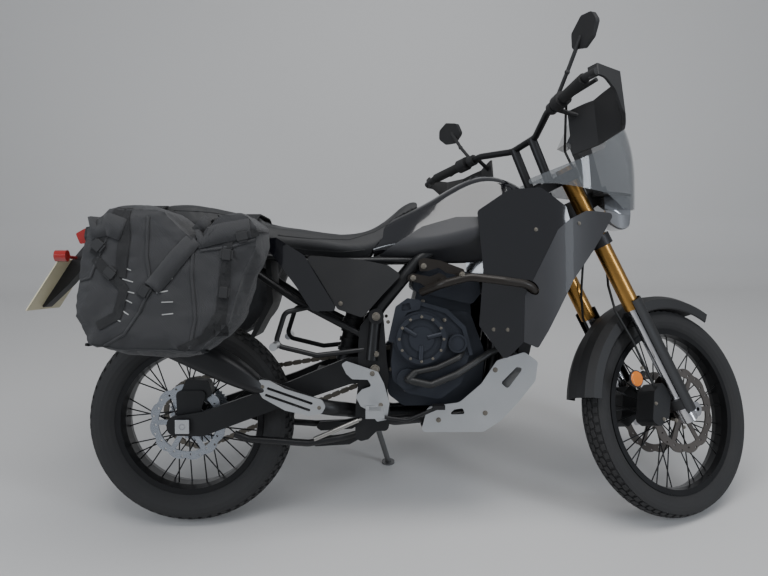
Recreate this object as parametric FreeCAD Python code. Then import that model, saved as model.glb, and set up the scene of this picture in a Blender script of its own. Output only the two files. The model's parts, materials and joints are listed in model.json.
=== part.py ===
import FreeCAD, Part
import math
import os

V = FreeCAD.Vector

# Adventure motorcycle, leaning on its side stand with the steering on its left stop.
# It is drawn upright first: X forward from the rear axle, Y to the rider's left, Z up
# from the floor. The last section leans it over and writes the pieces. Millimetres.

# Driving dimensions of the whole machine
WHEELBASE = 1595.0
RAKE = 27.0
TRAIL = 105.0
LEAN = 14.3
STEER_AT_REST = 28.0
RUN_GAP = 0.3          # running gap at shafts and pivots
SEAT_GAP = 0.3         # soft and moulded pieces beside curved neighbours
CLEAR = 5.0            # gap beside anything that turns

# Wheels
FRONT_R = 347.5
FRONT_TYRE_W = 90.0
FRONT_BEAD_R = 266.0
FRONT_BEAD_W = 56.0
REAR_R = 333.5
REAR_TYRE_W = 150.0
REAR_BEAD_R = 230.0
REAR_BEAD_W = 102.0
FLANGE_H = 9.0
FLANGE_T = 4.0
RIM_DEPTH = 15.0
SPOKES = 36
SPOKE_R = 2.2
HUB_R = 24.0
FRONT_HUB_FLANGE_R = 36.0
REAR_HUB_FLANGE_R = 52.0
FRONT_AXLE_R = 10.0
REAR_AXLE_R = 10.0
AXLE_BORE_R = 6.5
FRONT_DISC_R = 141.0
FRONT_DISC_Y = 62.0
REAR_DISC_R = 122.5
REAR_DISC_Y = 68.0
DISC_T = 4.5
DISC_WAVES = 12
WAVE_DEPTH = 4.0
DISC_HOLE_R = 3.5

# Final drive
CHAIN_Y = 89.0
CHAIN_W = 17.0
CHAIN_H = 15.0
CHAIN_PITCH = 15.875
CHAIN_CORE_W = 9.0
SPROCKET_TEETH = 46
TOOTH_H = 5.0
REAR_PITCH_R = 116.3
FRONT_PITCH_R = 38.2
FRONT_SPROCKET_X = 678.0
FRONT_SPROCKET_Z = 522.0

COVER_Y = 160.0
CLUTCH_R = 76.0
CLUTCH_T = 36.0
HOSE_R = 11.0
SHOCK_COILS = 9
SHOCK_COIL_R = 38.0
SHOCK_WIRE_R = 6.0

# Fork and steering head
LEG_Y = 103.0
LEG_OFFSET = 34.0
TUBE_R = 27.0
SLIDER_R = 21.5
STEM_R = 14.0
HEAD_R = 30.0
LOWER_CLAMP_S = 985.0
UPPER_CLAMP_S = 1215.0
CLAMP_T = 34.0
CLAMP_SWING_R = 60.0
TUBE_BOTTOM_S = 742.0
TUBE_TOP_S = 1246.0
AXLE_CLAMP_R = 24.0

# Frame and swingarm
PIVOT_X = 600.0
PIVOT_Z = 512.0
ARM_IN = 99.0
ARM_T = 26.0
SPAR_R = 19.0
STAY_R = 8.0
CRADLE_R = 14.0
SUBFRAME_R = 11.0
CRASH_BAR_R = 12.5
PLATE_Y = 133.0
PLATE_T = 10.0
HEEL_Y = 156.0
HEEL_T = 6.0

# Handlebar
BAR_R = 11.0
CABLE_R = 4.0
GRIP_R = 16.5
BAR_END_Y = 415.0

# Body widths
PANNIER_IN = 238.0
PANNIER_DEEP = 215.0
PLATE_TOP = V(-386, 0, 852)
PLATE_TILT = 33.0
NUMBER_PLATE_W = 230.0
NUMBER_PLATE_H = 188.0
NUMBER_PLATE_T = 3.0
STRAP_W = 45.0
STRAP_T = 4.0
CAP = V(950, 0, 1119)
CAP_R = 34.0
CAP_T = 9.0
CAP_HINGE = V(990, 0, 1124)
RADIATOR_Y = 138.0
FIN_SLOTS = 17
SKIN_T = 4.0
KNEE_T = 8.0
SEAM = 0.5

# Stands
SIDE_PIVOT = V(584, 139, 342)
SIDE_EYE_T = 12.0
SIDE_EYE_R = 17.0
SIDE_FOLD_AXIS = V(0, 0.9, 0.434).normalize()
SIDE_SEAT = SIDE_PIVOT + SIDE_FOLD_AXIS * 9
SIDE_FOLD = 94.0
CENTRE_FOLD = 80.0
SIDE_FOOT_X = 652.0
SIDE_FOOT_REACH = 352.0
FOOT_R = 24.0
FOOT_T = 6.0
CENTRE_PIVOT = V(560, 0, 330)
CENTRE_LEG = 352.0
CENTRE_Y = 142.0
CENTRE_AXIS = CENTRE_PIVOT - V(0, 0, 24)

STAND_PIN_R = 6.0
PIVOT_PIN_R = 11.0
REAR_AXLE = V(0, 0, REAR_R)
FRONT_AXLE = V(WHEELBASE, 0, FRONT_R)
PIVOT = V(PIVOT_X, 0, PIVOT_Z)

sin_rake = math.sin(math.radians(RAKE))
cos_rake = math.cos(math.radians(RAKE))
STEER_POINT = V(WHEELBASE + TRAIL, 0, 0)
STEER_AXIS = V(-sin_rake, 0, cos_rake)
STEER_FORE = V(cos_rake, 0, sin_rake)


def fork_point(along, fore, side):
    """A point by its height along the steering axis, its distance ahead of it, and its side."""
    return STEER_POINT + STEER_AXIS * along + STEER_FORE * fore + V(0, side, 0)


AXLE_S = (FRONT_AXLE - STEER_POINT).dot(STEER_AXIS)
AXLE_F = (FRONT_AXLE - STEER_POINT).dot(STEER_FORE)


# Building forms

def cylinder(start, end, radius):
    along = end - start
    return Part.makeCylinder(radius, along.Length, start, along)


def ring(start, end, outer, inner):
    return cylinder(start, end, outer).cut(cylinder(start, end, inner))


def block(x, y, z):
    return Part.makeBox(x[1] - x[0], y[1] - y[0], z[1] - z[0], V(x[0], y[0], z[0]))


def corner(before, point, after, radius):
    """Tangent points and middle of the arc that rounds one corner."""
    u = (before - point).normalize()
    v = (after - point).normalize()
    half = u.getAngle(v) / 2
    room = 0.49 * min((before - point).Length, (after - point).Length)
    reach = min(radius / math.tan(half), room)
    r = reach * math.tan(half)
    middle = (u + v).normalize()
    return point + u * reach, point + middle * (r / math.sin(half) - r), point + v * reach


def straight(before, point, after):
    return (before - point).getAngle(after - point) > math.radians(179.5)


def rounded(points, radius, closed=True):
    """A wire of straight runs joined by tangent arcs. radius is one value or one per point."""
    n = len(points)
    radii = radius if isinstance(radius, (list, tuple)) else [radius] * n
    arcs = []
    for i in range(n):
        if not closed and i in (0, n - 1):
            arcs.append((points[i], None, points[i]))
        elif radii[i] <= 0 or straight(points[i - 1], points[i], points[(i + 1) % n]):
            arcs.append((points[i], None, points[i]))
        else:
            arcs.append(corner(points[i - 1], points[i], points[(i + 1) % n], radii[i]))
    edges = []
    for i in range(n):
        first, middle, last = arcs[i]
        if middle is not None:
            edges.append(Part.Arc(first, middle, last).toShape())
        if i == n - 1 and not closed:
            break
        start = arcs[(i + 1) % n][0]
        if (start - last).Length > 0.001:
            edges.append(Part.LineSegment(last, start).toShape())
    return Part.Wire(edges)


def profile(points, y, radius=0):
    """A closed outline in the side view, at one y."""
    return rounded([V(x, y, z) for x, z in points], radius)


def side_plate(points, y0, y1, radius=0):
    """A flat piece with its outline in the side view, from y0 to y1."""
    return Part.Face(profile(points, y0, radius)).extrude(V(0, y1 - y0, 0))


def plan_plate(points, z0, z1, radius=0):
    """A flat piece with its outline seen from above."""
    wire = rounded([V(x, y, z0) for x, y in points], radius)
    return Part.Face(wire).extrude(V(0, 0, z1 - z0))


def pipe(points, outer, bend, bore=0):
    """A round tube along straight runs with bends."""
    path = rounded([V(*p) for p in points], bend, closed=False)
    start = path.Edges[0].Vertexes[0].Point
    if (start - V(*points[0])).Length > 0.01:
        start = path.Edges[0].Vertexes[1].Point
    along = V(*points[1]) - V(*points[0])

    def sweep(radius):
        circle = Part.Wire([Part.Circle(start, along, radius).toShape()])
        return path.makePipeShell([circle], True, True)

    tube = sweep(outer)
    if bore:
        tube = tube.cut(sweep(bore))
    return tube


def section(x, corners, radius):
    """A closed symmetric cross-section at x from its right-hand corners, bottom to top."""
    left = [V(x, y, z) for y, z in corners]
    right = [V(x, -y, z) for y, z in reversed(corners)]
    return rounded(left + right, radius)


def loft_along_x(stations, radius):
    """A smooth body through cross-sections: each station is x and its corners."""
    wires = [section(x, corners, radius) for x, corners in stations]
    return Part.makeLoft(wires, True, False)


def mirrored(shape):
    return shape.mirror(V(0, 0, 0), V(0, 1, 0))


def joined(shapes):
    """One solid from pieces that meet or overlap."""
    shapes = list(shapes)
    result = shapes[0].fuse(shapes[1:]) if len(shapes) > 1 else shapes[0]
    return result.removeSplitter()


def group(shapes):
    """Like pieces that don't touch, kept in one node."""
    solids = []
    for shape in shapes:
        solids.extend(shape.Solids)
    return Part.makeCompound(solids)


def without(shape, *others):
    """The piece with its neighbours' space taken out, in whole solids over a crumb's size."""
    others = [other for other in others if other.BoundBox.intersect(shape.BoundBox)]
    result = shape.cut(others) if others else shape
    solids = result.Solids
    biggest = max(solid.Volume for solid in solids)
    return Part.makeCompound([solid for solid in solids if solid.Volume > 0.02 * biggest])


def revolve_y(points, centre, angle=360.0, start=0.0):
    """A ring about a wheel's axis from an outline of (radius, y) points."""
    corners = [centre + V(r, y, 0) for r, y in points]
    face = Part.Face(Part.makePolygon(corners + [corners[0]]))
    body = face.revolve(centre, V(0, -1, 0), angle)
    body.rotate(centre, V(0, -1, 0), start)
    return body


# Wheels

def tyre(centre, radius, width, bead_r, bead_w):
    """A tyre's section: flat at the rim, round sidewalls and a crowned tread."""
    half = width / 2
    shoulder_r = radius - 0.30 * half
    belly_r = (radius + bead_r) / 2 + 6
    crown = [(bead_r, bead_w / 2), (bead_r + FLANGE_H, bead_w / 2)]
    p = [centre + V(r, y, 0) for r, y in crown]
    belly = centre + V(belly_r, half - 1, 0)
    shoulder = centre + V(shoulder_r, half * 0.86, 0)
    top = centre + V(radius, 0, 0)

    def other(point):
        return V(point.x, -point.y, point.z)

    edges = [
        Part.LineSegment(other(p[0]), p[0]).toShape(),
        Part.LineSegment(p[0], p[1]).toShape(),
        Part.Arc(p[1], belly, shoulder).toShape(),
        Part.Arc(shoulder, top, other(shoulder)).toShape(),
        Part.Arc(other(shoulder), other(belly), other(p[1])).toShape(),
        Part.LineSegment(other(p[1]), other(p[0])).toShape(),
    ]
    return Part.Face(Part.Wire(edges)).revolve(centre, V(0, 1, 0), 360)


def rim(centre, bead_r, bead_w):
    """A channel rim with upstanding flanges and a dropped centre."""
    inner = bead_w / 2
    outer = inner + FLANGE_T
    top = bead_r + FLANGE_H
    low = bead_r - RIM_DEPTH
    half = [(top, outer), (top, inner), (bead_r, inner)]
    under = [(low + 6, outer), (low, inner * 0.45)]
    points = half + [(r, -y) for r, y in reversed(half)]
    points += [(r, -y) for r, y in under] + [(r, y) for r, y in reversed(under)]
    return revolve_y(points, centre)


def spoked_centre(centre, rim_solid, bead_r, hub_half, flange_r, axle_r, outer_half):
    """A hub with two spoke flanges and crossed spokes that end in the rim."""
    hub = [ring(centre + V(0, -outer_half, 0), centre + V(0, outer_half, 0), HUB_R, axle_r + RUN_GAP)]
    pieces = []
    for side in (-1, 1):
        flange_y = side * hub_half
        hub.append(ring(centre + V(0, flange_y - 4, 0), centre + V(0, flange_y + 4, 0),
                        flange_r, HUB_R - 1))
        count = SPOKES // 2
        for k in range(count):
            angle = 2 * math.pi * (k + (0.5 if side > 0 else 0)) / count
            turn = math.radians(38) * (1 if k % 2 else -1)
            inner_r = flange_r - 5
            y = flange_y + (2.5 if k % 2 else -2.5)
            a = centre + V(inner_r * math.cos(angle), y, inner_r * math.sin(angle))
            end_r = bead_r - RIM_DEPTH / 2
            b = centre + V(end_r * math.cos(angle + turn), side * 9, end_r * math.sin(angle + turn))
            pieces.append(cylinder(a, b, SPOKE_R))
    spokes = Part.makeCompound(pieces).cut(rim_solid)
    body = hub[0].fuse(hub[1:] + spokes.Solids)
    return max(body.Solids, key=lambda solid: solid.Volume)


def disc(centre, y, radius, band):
    """A brake disc with a waved edge, rows of round holes and a six-armed carrier."""
    a = centre + V(0, y - DISC_T / 2, 0)
    b = centre + V(0, y + DISC_T / 2, 0)
    edges = []
    step = 2 * math.pi / DISC_WAVES
    for k in range(DISC_WAVES):
        at = [(k * step, radius - WAVE_DEPTH), ((k + 0.35) * step, radius), ((k + 0.7) * step, radius - WAVE_DEPTH),
              ((k + 0.85) * step, radius - 1.7 * WAVE_DEPTH), ((k + 1) * step, radius - WAVE_DEPTH)]
        points = [a + V(r * math.cos(t), 0, r * math.sin(t)) for t, r in at]
        edges.append(Part.Arc(points[0], points[1], points[2]).toShape())
        edges.append(Part.Arc(points[2], points[3], points[4]).toShape())
    plate = Part.Face(Part.Wire(edges)).extrude(b - a).cut(cylinder(a, b, radius - band))
    holes = []
    for k in range(2 * DISC_WAVES):
        t = (k + 0.3) * step / 2
        r = radius - WAVE_DEPTH - (7 if k % 2 else 15)
        hole = a + V(r * math.cos(t), 0, r * math.sin(t))
        holes.append(cylinder(hole, hole + (b - a), DISC_HOLE_R))
    arms = []
    for k in range(6):
        arm = Part.makeBox(radius - band + 3 - HUB_R, DISC_T, 16, V(HUB_R, y - DISC_T / 2, -8))
        arm.rotate(V(0, 0, 0), V(0, 1, 0), -60 * k)
        arm.translate(centre)
        arms.append(arm)
    boss = ring(a, b, HUB_R + 12, HUB_R)
    return joined([plate.cut(holes), boss] + arms)


def toothed_wheel(centre, y, tip, teeth, band):
    """A chain wheel with pointed teeth."""
    points = []
    for k in range(teeth):
        for part_way, r in ((0.0, tip - TOOTH_H), (0.3, tip - TOOTH_H), (0.5, tip), (0.8, tip)):
            t = 2 * math.pi * (k + part_way) / teeth
            points.append((centre.x + r * math.cos(t), centre.z + r * math.sin(t)))
    blank = side_plate(points, y - DISC_T / 2, y + DISC_T / 2)
    inside = V(centre.x, y, centre.z)
    holes = [cylinder(inside - V(0, DISC_T, 0), inside + V(0, DISC_T, 0), FRONT_HUB_FLANGE_R)]
    for k in range(6):
        t = math.pi * k / 3
        at = inside + V(math.cos(t), 0, math.sin(t)) * (tip - band)
        holes.append(cylinder(at - V(0, DISC_T, 0), at + V(0, DISC_T, 0), band / 2))
    return blank.cut(holes)


def front_wheel():
    rim_solid = rim(FRONT_AXLE, FRONT_BEAD_R, FRONT_BEAD_W)
    centre = spoked_centre(FRONT_AXLE, rim_solid, FRONT_BEAD_R, 36, FRONT_HUB_FLANGE_R,
                           FRONT_AXLE_R, FRONT_DISC_Y + 6)
    discs = [disc(FRONT_AXLE, side * FRONT_DISC_Y, FRONT_DISC_R, 30) for side in (-1, 1)]
    return {
        "front_tyre": tyre(FRONT_AXLE, FRONT_R, FRONT_TYRE_W, FRONT_BEAD_R, FRONT_BEAD_W),
        "front_rim": joined([rim_solid, centre]),
        "front_discs": group(discs),
    }


def rear_wheel():
    rim_solid = rim(REAR_AXLE, REAR_BEAD_R, REAR_BEAD_W)
    centre = spoked_centre(REAR_AXLE, rim_solid, REAR_BEAD_R, 42, REAR_HUB_FLANGE_R,
                           REAR_AXLE_R, REAR_DISC_Y + 6)
    tip = REAR_PITCH_R - CHAIN_H / 2 - CLEAR
    sprocket = toothed_wheel(REAR_AXLE, CHAIN_Y, tip, SPROCKET_TEETH, 32)
    carrier = ring(REAR_AXLE + V(0, REAR_DISC_Y + 6, 0), REAR_AXLE + V(0, CHAIN_Y + DISC_T / 2, 0),
                   FRONT_HUB_FLANGE_R + 1, REAR_AXLE_R + RUN_GAP)
    return {
        "rear_tyre": tyre(REAR_AXLE, REAR_R, REAR_TYRE_W, REAR_BEAD_R, REAR_BEAD_W),
        "rear_rim": joined([rim_solid, centre]),
        "rear_disc": disc(REAR_AXLE, -REAR_DISC_Y, REAR_DISC_R, 28),
        "rear_sprocket": joined([sprocket, carrier]),
    }


# Fork, bars and what turns with them

def fork():
    legs = [-LEG_Y, LEG_Y]
    tubes = [cylinder(fork_point(TUBE_BOTTOM_S, LEG_OFFSET, y), fork_point(TUBE_TOP_S, LEG_OFFSET, y), TUBE_R)
             for y in legs]
    sliders = []
    for y in legs:
        leg = cylinder(fork_point(AXLE_S, LEG_OFFSET, y), fork_point(TUBE_BOTTOM_S, LEG_OFFSET, y), SLIDER_R)
        clamp_y0 = y - math.copysign(24, y)
        clamp_y1 = y + math.copysign(20, y)
        lug = cylinder(fork_point(AXLE_S, AXLE_F, clamp_y0), fork_point(AXLE_S, AXLE_F, clamp_y1), AXLE_CLAMP_R)
        foot = cylinder(fork_point(AXLE_S - 22, LEG_OFFSET + 4, y), fork_point(AXLE_S + 70, LEG_OFFSET, y),
                        SLIDER_R + 5)
        hole = cylinder(fork_point(AXLE_S, AXLE_F, -200), fork_point(AXLE_S, AXLE_F, 200), FRONT_AXLE_R)
        sliders.append(joined([leg, foot, lug]).cut(hole))
    axle = ring(FRONT_AXLE + V(0, -LEG_Y - 26, 0), FRONT_AXLE + V(0, LEG_Y + 26, 0), FRONT_AXLE_R, AXLE_BORE_R)
    hole = [cylinder(fork_point(0, LEG_OFFSET, y), fork_point(1500, LEG_OFFSET, y), TUBE_R) for y in legs]
    clamps = []
    for s in (LOWER_CLAMP_S, UPPER_CLAMP_S):
        eyes = [cylinder(fork_point(s - CLAMP_T / 2, LEG_OFFSET, y), fork_point(s + CLAMP_T / 2, LEG_OFFSET, y),
                         TUBE_R + 10) for y in legs]
        corners = [(-32, -30), (LEG_OFFSET + 30, -LEG_Y + 12), (LEG_OFFSET + 30, LEG_Y - 12), (-32, 30)]
        wire = rounded([fork_point(s - CLAMP_T / 2, f, y) for f, y in corners], 14)
        bridge = Part.Face(wire).extrude(STEER_AXIS * CLAMP_T)
        clamps.append(joined([bridge] + eyes).cut(hole))
    stem = cylinder(fork_point(LOWER_CLAMP_S, 0, 0), fork_point(UPPER_CLAMP_S + CLAMP_T / 2 + 8, 0, 0), STEM_R)
    risers = [cylinder(fork_point(UPPER_CLAMP_S + CLAMP_T / 2 - 2, 8, y), bar_centre(y), 15) for y in (-48, 48)]
    clamps = joined(clamps + [stem] + risers).cut(pipe(bar_route(), BAR_R, BAR_BEND))
    return {
        "fork_clamps": clamps,
        "fork_tubes": group(tubes),
        "fork_sliders": group(sliders),
        "front_axle": axle,
    }


BAR_BEND = 70.0
BAR_CLAMP = V(1098, 0, 1238)
BAR_END = V(997, BAR_END_Y, 1254)


def bar_centre(y):
    return V(BAR_CLAMP.x - 2, y, BAR_CLAMP.z + 2)


def bar_route():
    half = [(BAR_CLAMP.x, 62, BAR_CLAMP.z), (1052, 185, 1262), (BAR_END.x, BAR_END_Y, BAR_END.z)]
    return [(x, -y, z) for x, y, z in reversed(half)] + half


def bar_at(side, distance):
    """A point on the bar's straight end, by its distance from the tip."""
    inner = V(*bar_route()[-2])
    point = BAR_END - (BAR_END - inner).normalize() * distance
    return V(point.x, side * point.y, point.z)


def handlebar():
    bar = pipe(bar_route(), BAR_R, BAR_BEND)
    grips = []
    controls = []
    for side in (1, -1):
        grips.append(ring(bar_at(side, 8), bar_at(side, 128), GRIP_R, BAR_R))
        box = ring(bar_at(side, 133), bar_at(side, 172), 24, BAR_R)
        lever_root = bar_at(side, 150) + STEER_FORE * 26
        lever_tip = bar_at(side, 20) + STEER_FORE * 62 - V(0, 0, 14)
        lever = cylinder(lever_root, lever_tip, 6)
        master = cylinder(bar_at(side, 158) + STEER_FORE * 8, bar_at(side, 158) + STEER_FORE * 40, 15)
        controls.append(without(joined([box, master, lever]), bar))
    return {
        "handlebar": bar,
        "grips": group(grips),
        "controls": group(controls),
    }


def handguards():
    guards = []
    for side in (-1, 1):
        plan = [(BAR_END.x - 12, 436), (BAR_END.x - 6, 470), (1080, 462), (1126, 410), (1140, 300),
                (1118, 205), (1110, 207), (1132, 300), (1119, 405), (1076, 454), (BAR_END.x, 462),
                (BAR_END.x - 4, 436)]
        outline = [(x, side * y) for x, y in plan]
        sheet = plan_plate(outline, 1100, 1282, 4)
        trim = side_plate([(960, 1238), (1018, 1234), (1052, 1204), (1070, 1150), (1096, 1122), (1160, 1126),
                           (1160, 1246), (1128, 1266), (1080, 1264), (1030, 1266), (960, 1270)],
                          side * 180, side * 500, [0, 24, 30, 26, 14, 0, 14, 20, 0, 0, 0])
        shell = sheet.common(trim)
        end = V(BAR_END.x, side * BAR_END_Y, BAR_END.z)
        weight = cylinder(end, V(BAR_END.x - 4, side * 466, BAR_END.z - 8), 12)
        stay = cylinder(V(1064, side * 214, 1262), V(1125, side * 240, 1240), 7)
        guards.append(joined([shell, weight, stay]))
    return group(guards)


def mirrors(*neighbours):
    heads = []
    for side in (-1, 1):
        root = bar_at(side, 196)
        elbow = V(1046, side * 296, 1340)
        centre = V(1054, side * 360, 1424)
        stem = joined([cylinder(root, elbow, 6), cylinder(elbow, centre, 6), Part.makeSphere(8, elbow)])
        clamp = ring(bar_at(side, 184), bar_at(side, 208), 19, BAR_R)
        outline = ((-64, -10), (-42, 30), (18, 42), (60, 20), (64, -14), (24, -40), (-22, -42))
        faces = []
        for depth, size in ((-9, 1.0), (6, 0.97), (19, 0.55)):
            faces.append(rounded([V(depth, y * size, z * size) for y, z in outline], 14 * size))
        head = Part.makeLoft(faces[:2], True, True).fuse(Part.makeLoft(faces[1:], True, True)).removeSplitter()
        if side < 0:
            head = mirrored(head)
        head.rotate(V(0, 0, 0), V(0, 1, 0), -8)
        head.rotate(V(0, 0, 0), V(1, 0, 0), side * 12)
        head.rotate(V(0, 0, 0), V(0, 0, 1), side * 8)
        head.translate(centre + V(4, side * 12, 6))
        heads.append(without(joined([stem, clamp, head]), *neighbours))
    return group(heads)


def mudguard():
    """A crowned guard over the front tyre, from its beak back to the flap behind it."""
    gap = 14.0
    inner = FRONT_R + gap
    outline = [(inner - 22, 62), (inner + 8, 60), (inner + 22, 34), (inner + 26, 0)]
    thick = [(r + SKIN_T, y + (SKIN_T if y else 0)) for r, y in outline]
    half = outline + [(r, -y) for r, y in reversed(outline[:-1])]
    back = thick + [(r, -y) for r, y in reversed(thick[:-1])]
    first = 60.0
    sweep = 112.0
    body = revolve_y(back + list(reversed(half)), FRONT_AXLE, sweep, first)
    legs = [cylinder(fork_point(0, LEG_OFFSET, y), fork_point(1500, LEG_OFFSET, y), SLIDER_R + 10)
            for y in (-LEG_Y, LEG_Y)]
    seats = [cylinder(fork_point(0, LEG_OFFSET, y), fork_point(1500, LEG_OFFSET, y), SLIDER_R + SEAT_GAP)
             for y in (-LEG_Y, LEG_Y)]
    body = without(body, *legs)
    arms = []
    for side in (-1, 1):
        for along in (332, 368):
            arms.append(cylinder(fork_point(AXLE_S + along, LEG_OFFSET, side * 58),
                                 fork_point(AXLE_S + along, LEG_OFFSET, side * (LEG_Y - 6)), 9))
    return without(joined([body, without(group(arms), *seats)]))


def brake_hoses(*neighbours):
    """The hoses from the right-hand master cylinder down to each front caliper."""
    fork_union = fork_point(1036, 82, 0)
    trunk = pipe([(1064, -262, 1274), (1120, -190, 1262), (1186, -96, 1190), tuple(fork_point(1180, 80, -96)),
                  tuple(fork_point(1070, 82, -92)), tuple(fork_point(1036, 82, -60)), tuple(fork_union)], CABLE_R, 24)
    hoses = [trunk, cylinder(fork_union + STEER_AXIS * 12, fork_union - STEER_AXIS * 12, 9)]
    for side in (-1, 1):
        route = [tuple(fork_point(*at)) for at in (
            (1030, 82, 0), (1004, 84, side * 28), (930, 82, side * 54), (840, 20, side * 64),
            (760, -14, side * 76), (AXLE_S + 290, -10, side * 82))]
        hoses.append(pipe(route + [(1462, side * 84, 426)], CABLE_R, 28))
    return without(joined(hoses), *neighbours)


def fork_guards():
    guards = []
    for y in (-LEG_Y, LEG_Y):
        low = fork_point(AXLE_S + 12, LEG_OFFSET, y)
        high = fork_point(TUBE_BOTTOM_S + 28, LEG_OFFSET, y)
        shell = ring(low, high, TUBE_R + 10, TUBE_R + 7)
        behind = cylinder(low, high, TUBE_R + 20)
        cut = Part.makeBox(60, 200, 520)
        cut.translate(V(-62, -100, -10))
        cut.rotate(V(0, 0, 0), V(0, 1, 0), -RAKE)
        cut.rotate(V(0, 0, 0), STEER_AXIS, math.copysign(-32, y))
        cut.translate(low)
        shell = shell.common(behind).cut(cut)
        band = ring(fork_point(AXLE_S + 30, LEG_OFFSET, y), fork_point(AXLE_S + 62, LEG_OFFSET, y),
                    TUBE_R + 8, SLIDER_R + 5)
        guards.append(joined([shell, band]))
    return group(guards)


def front_calipers():
    pieces = []
    for side in (-1, 1):
        y0 = side * (FRONT_DISC_Y - 30)
        y1 = side * (FRONT_DISC_Y + 42)
        outline = [(1418, 318), (1446, 300), (1492, 330), (1512, 400), (1478, 440), (1440, 410)]
        body = side_plate(outline, min(y0, y1), max(y0, y1), 12)
        gap = DISC_T / 2 + CLEAR
        slot = cylinder(FRONT_AXLE + V(0, side * FRONT_DISC_Y - gap, 0),
                        FRONT_AXLE + V(0, side * FRONT_DISC_Y + gap, 0), FRONT_DISC_R + CLEAR)
        pieces.append(body.cut(slot))
    return pieces


# Frame, swingarm and running gear

def head_tube():
    return ring(fork_point(LOWER_CLAMP_S + CLAMP_T / 2 + 3, 0, 0), fork_point(UPPER_CLAMP_S - CLAMP_T / 2 - 3, 0, 0),
                HEAD_R, STEM_R + RUN_GAP)


def frame():
    bore = cylinder(fork_point(LOWER_CLAMP_S, 0, 0), fork_point(UPPER_CLAMP_S, 0, 0), STEM_R + RUN_GAP)
    head = fork_point((LOWER_CLAMP_S + UPPER_CLAMP_S) / 2, 0, 0)
    pieces = [head_tube()]
    for side in (-1, 1):
        pieces.append(pipe([(head.x - 6, side * 12, head.z + 10), (930, side * 92, 968), (742, side * 128, 858),
                            (604, side * 134, 690), (PIVOT_X - 10, side * 134, 540)], SPAR_R, 90))
        pieces.append(pipe([(head.x + 22, side * 12, head.z - 66), (1058, side * 60, 796), (985, side * 96, 620),
                            (956, side * 112, 372), (640, side * 112, 342), (574, side * 124, 420)], CRADLE_R, 60))
        plate = [(574, 672), (554, 645), (549, 599), (547, 540), (548, 470), (540, 400), (538, 296), (556, 286),
                 (580, 292), (606, 318), (640, 318), (650, 360), (638, 440), (644, 490), (638, 532), (632, 617),
                 (628, 668), (604, 694)]
        y0, y1 = sorted((side * (PLATE_Y - PLATE_T / 2), side * (PLATE_Y + PLATE_T / 2)))
        pieces.append(side_plate(plate, y0, y1, 14))
        pieces.append(cylinder(V(604, side * 122, 677), V(604, side * 158, 677), 24))
        pieces.append(pipe([(566, side * 132, 572), (420, side * 146, 556), (290, side * 146, 588),
                            (322, side * 146, 690), (400, side * 116, 706)], STAY_R, 24))
        pieces.append(pipe([(742, side * 118, 852), (380, side * 108, 850), (-60, side * 92, 905)], SUBFRAME_R, 80))
        pieces.append(pipe([(592, side * 126, 600), (353, side * 116, 726), (140, side * 104, 872)], SUBFRAME_R, 80))
    for x, y, z, r in ((560, 120, 336, 11), (742, 118, 862, 12), (250, 108, 864, 9), (-50, 92, 904, 9)):
        pieces.append(cylinder(V(x, -y, z), V(x, y, z), r))
    pieces.append(cylinder(V(566, -108, 848), V(566, 108, 848), 10))
    pieces.append(cylinder(PIVOT + V(0, -PLATE_Y - 12, 0), PIVOT + V(0, PLATE_Y + 12, 0), PIVOT_PIN_R))
    boss = cylinder(SIDE_PIVOT - SIDE_FOLD_AXIS * 30, SIDE_SEAT - SIDE_FOLD_AXIS * RUN_GAP, SIDE_EYE_R)
    shelf = block((SIDE_PIVOT.x - 60, SIDE_PIVOT.x + 60), (PLATE_Y - 2, PLATE_Y + 60), (SIDE_PIVOT.z - 80, SIDE_PIVOT.z + 60))
    pieces.append(boss.common(shelf))
    pieces.append(cylinder(SIDE_SEAT - SIDE_FOLD_AXIS * 4, SIDE_SEAT + SIDE_FOLD_AXIS * (SIDE_EYE_T + 4), STAND_PIN_R))
    pieces.append(cylinder(CENTRE_AXIS - V(0, PLATE_Y, 0), CENTRE_AXIS + V(0, PLATE_Y, 0), STAND_PIN_R))
    return without(joined(pieces), bore)


def swingarm(frame_solid):
    outline = [(-52, REAR_R - 30), (-52, REAR_R + 26), (60, REAR_R + 44), (330, 470), (520, 548), (590, 550),
               (636, PIVOT_Z), (600, 474), (520, 462), (300, 388), (60, 300)]
    pieces = []
    for side in (-1, 1):
        y0, y1 = sorted((side * ARM_IN, side * (ARM_IN + ARM_T)))
        pieces.append(side_plate(outline, y0, y1, 26))
    pieces.append(cylinder(PIVOT + V(0, -ARM_IN, 0), PIVOT + V(0, ARM_IN, 0), 21))
    pieces.append(block((410, 486), (-ARM_IN, ARM_IN), (456, 496)))
    slider = block((560, 630), (CHAIN_Y - 8, ARM_IN + 1), (500, 536)).cut(chain())
    axle = cylinder(REAR_AXLE + V(0, -200, 0), REAR_AXLE + V(0, 200, 0), REAR_AXLE_R)
    return without(joined(pieces + [slider]), axle, frame_solid)


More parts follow.
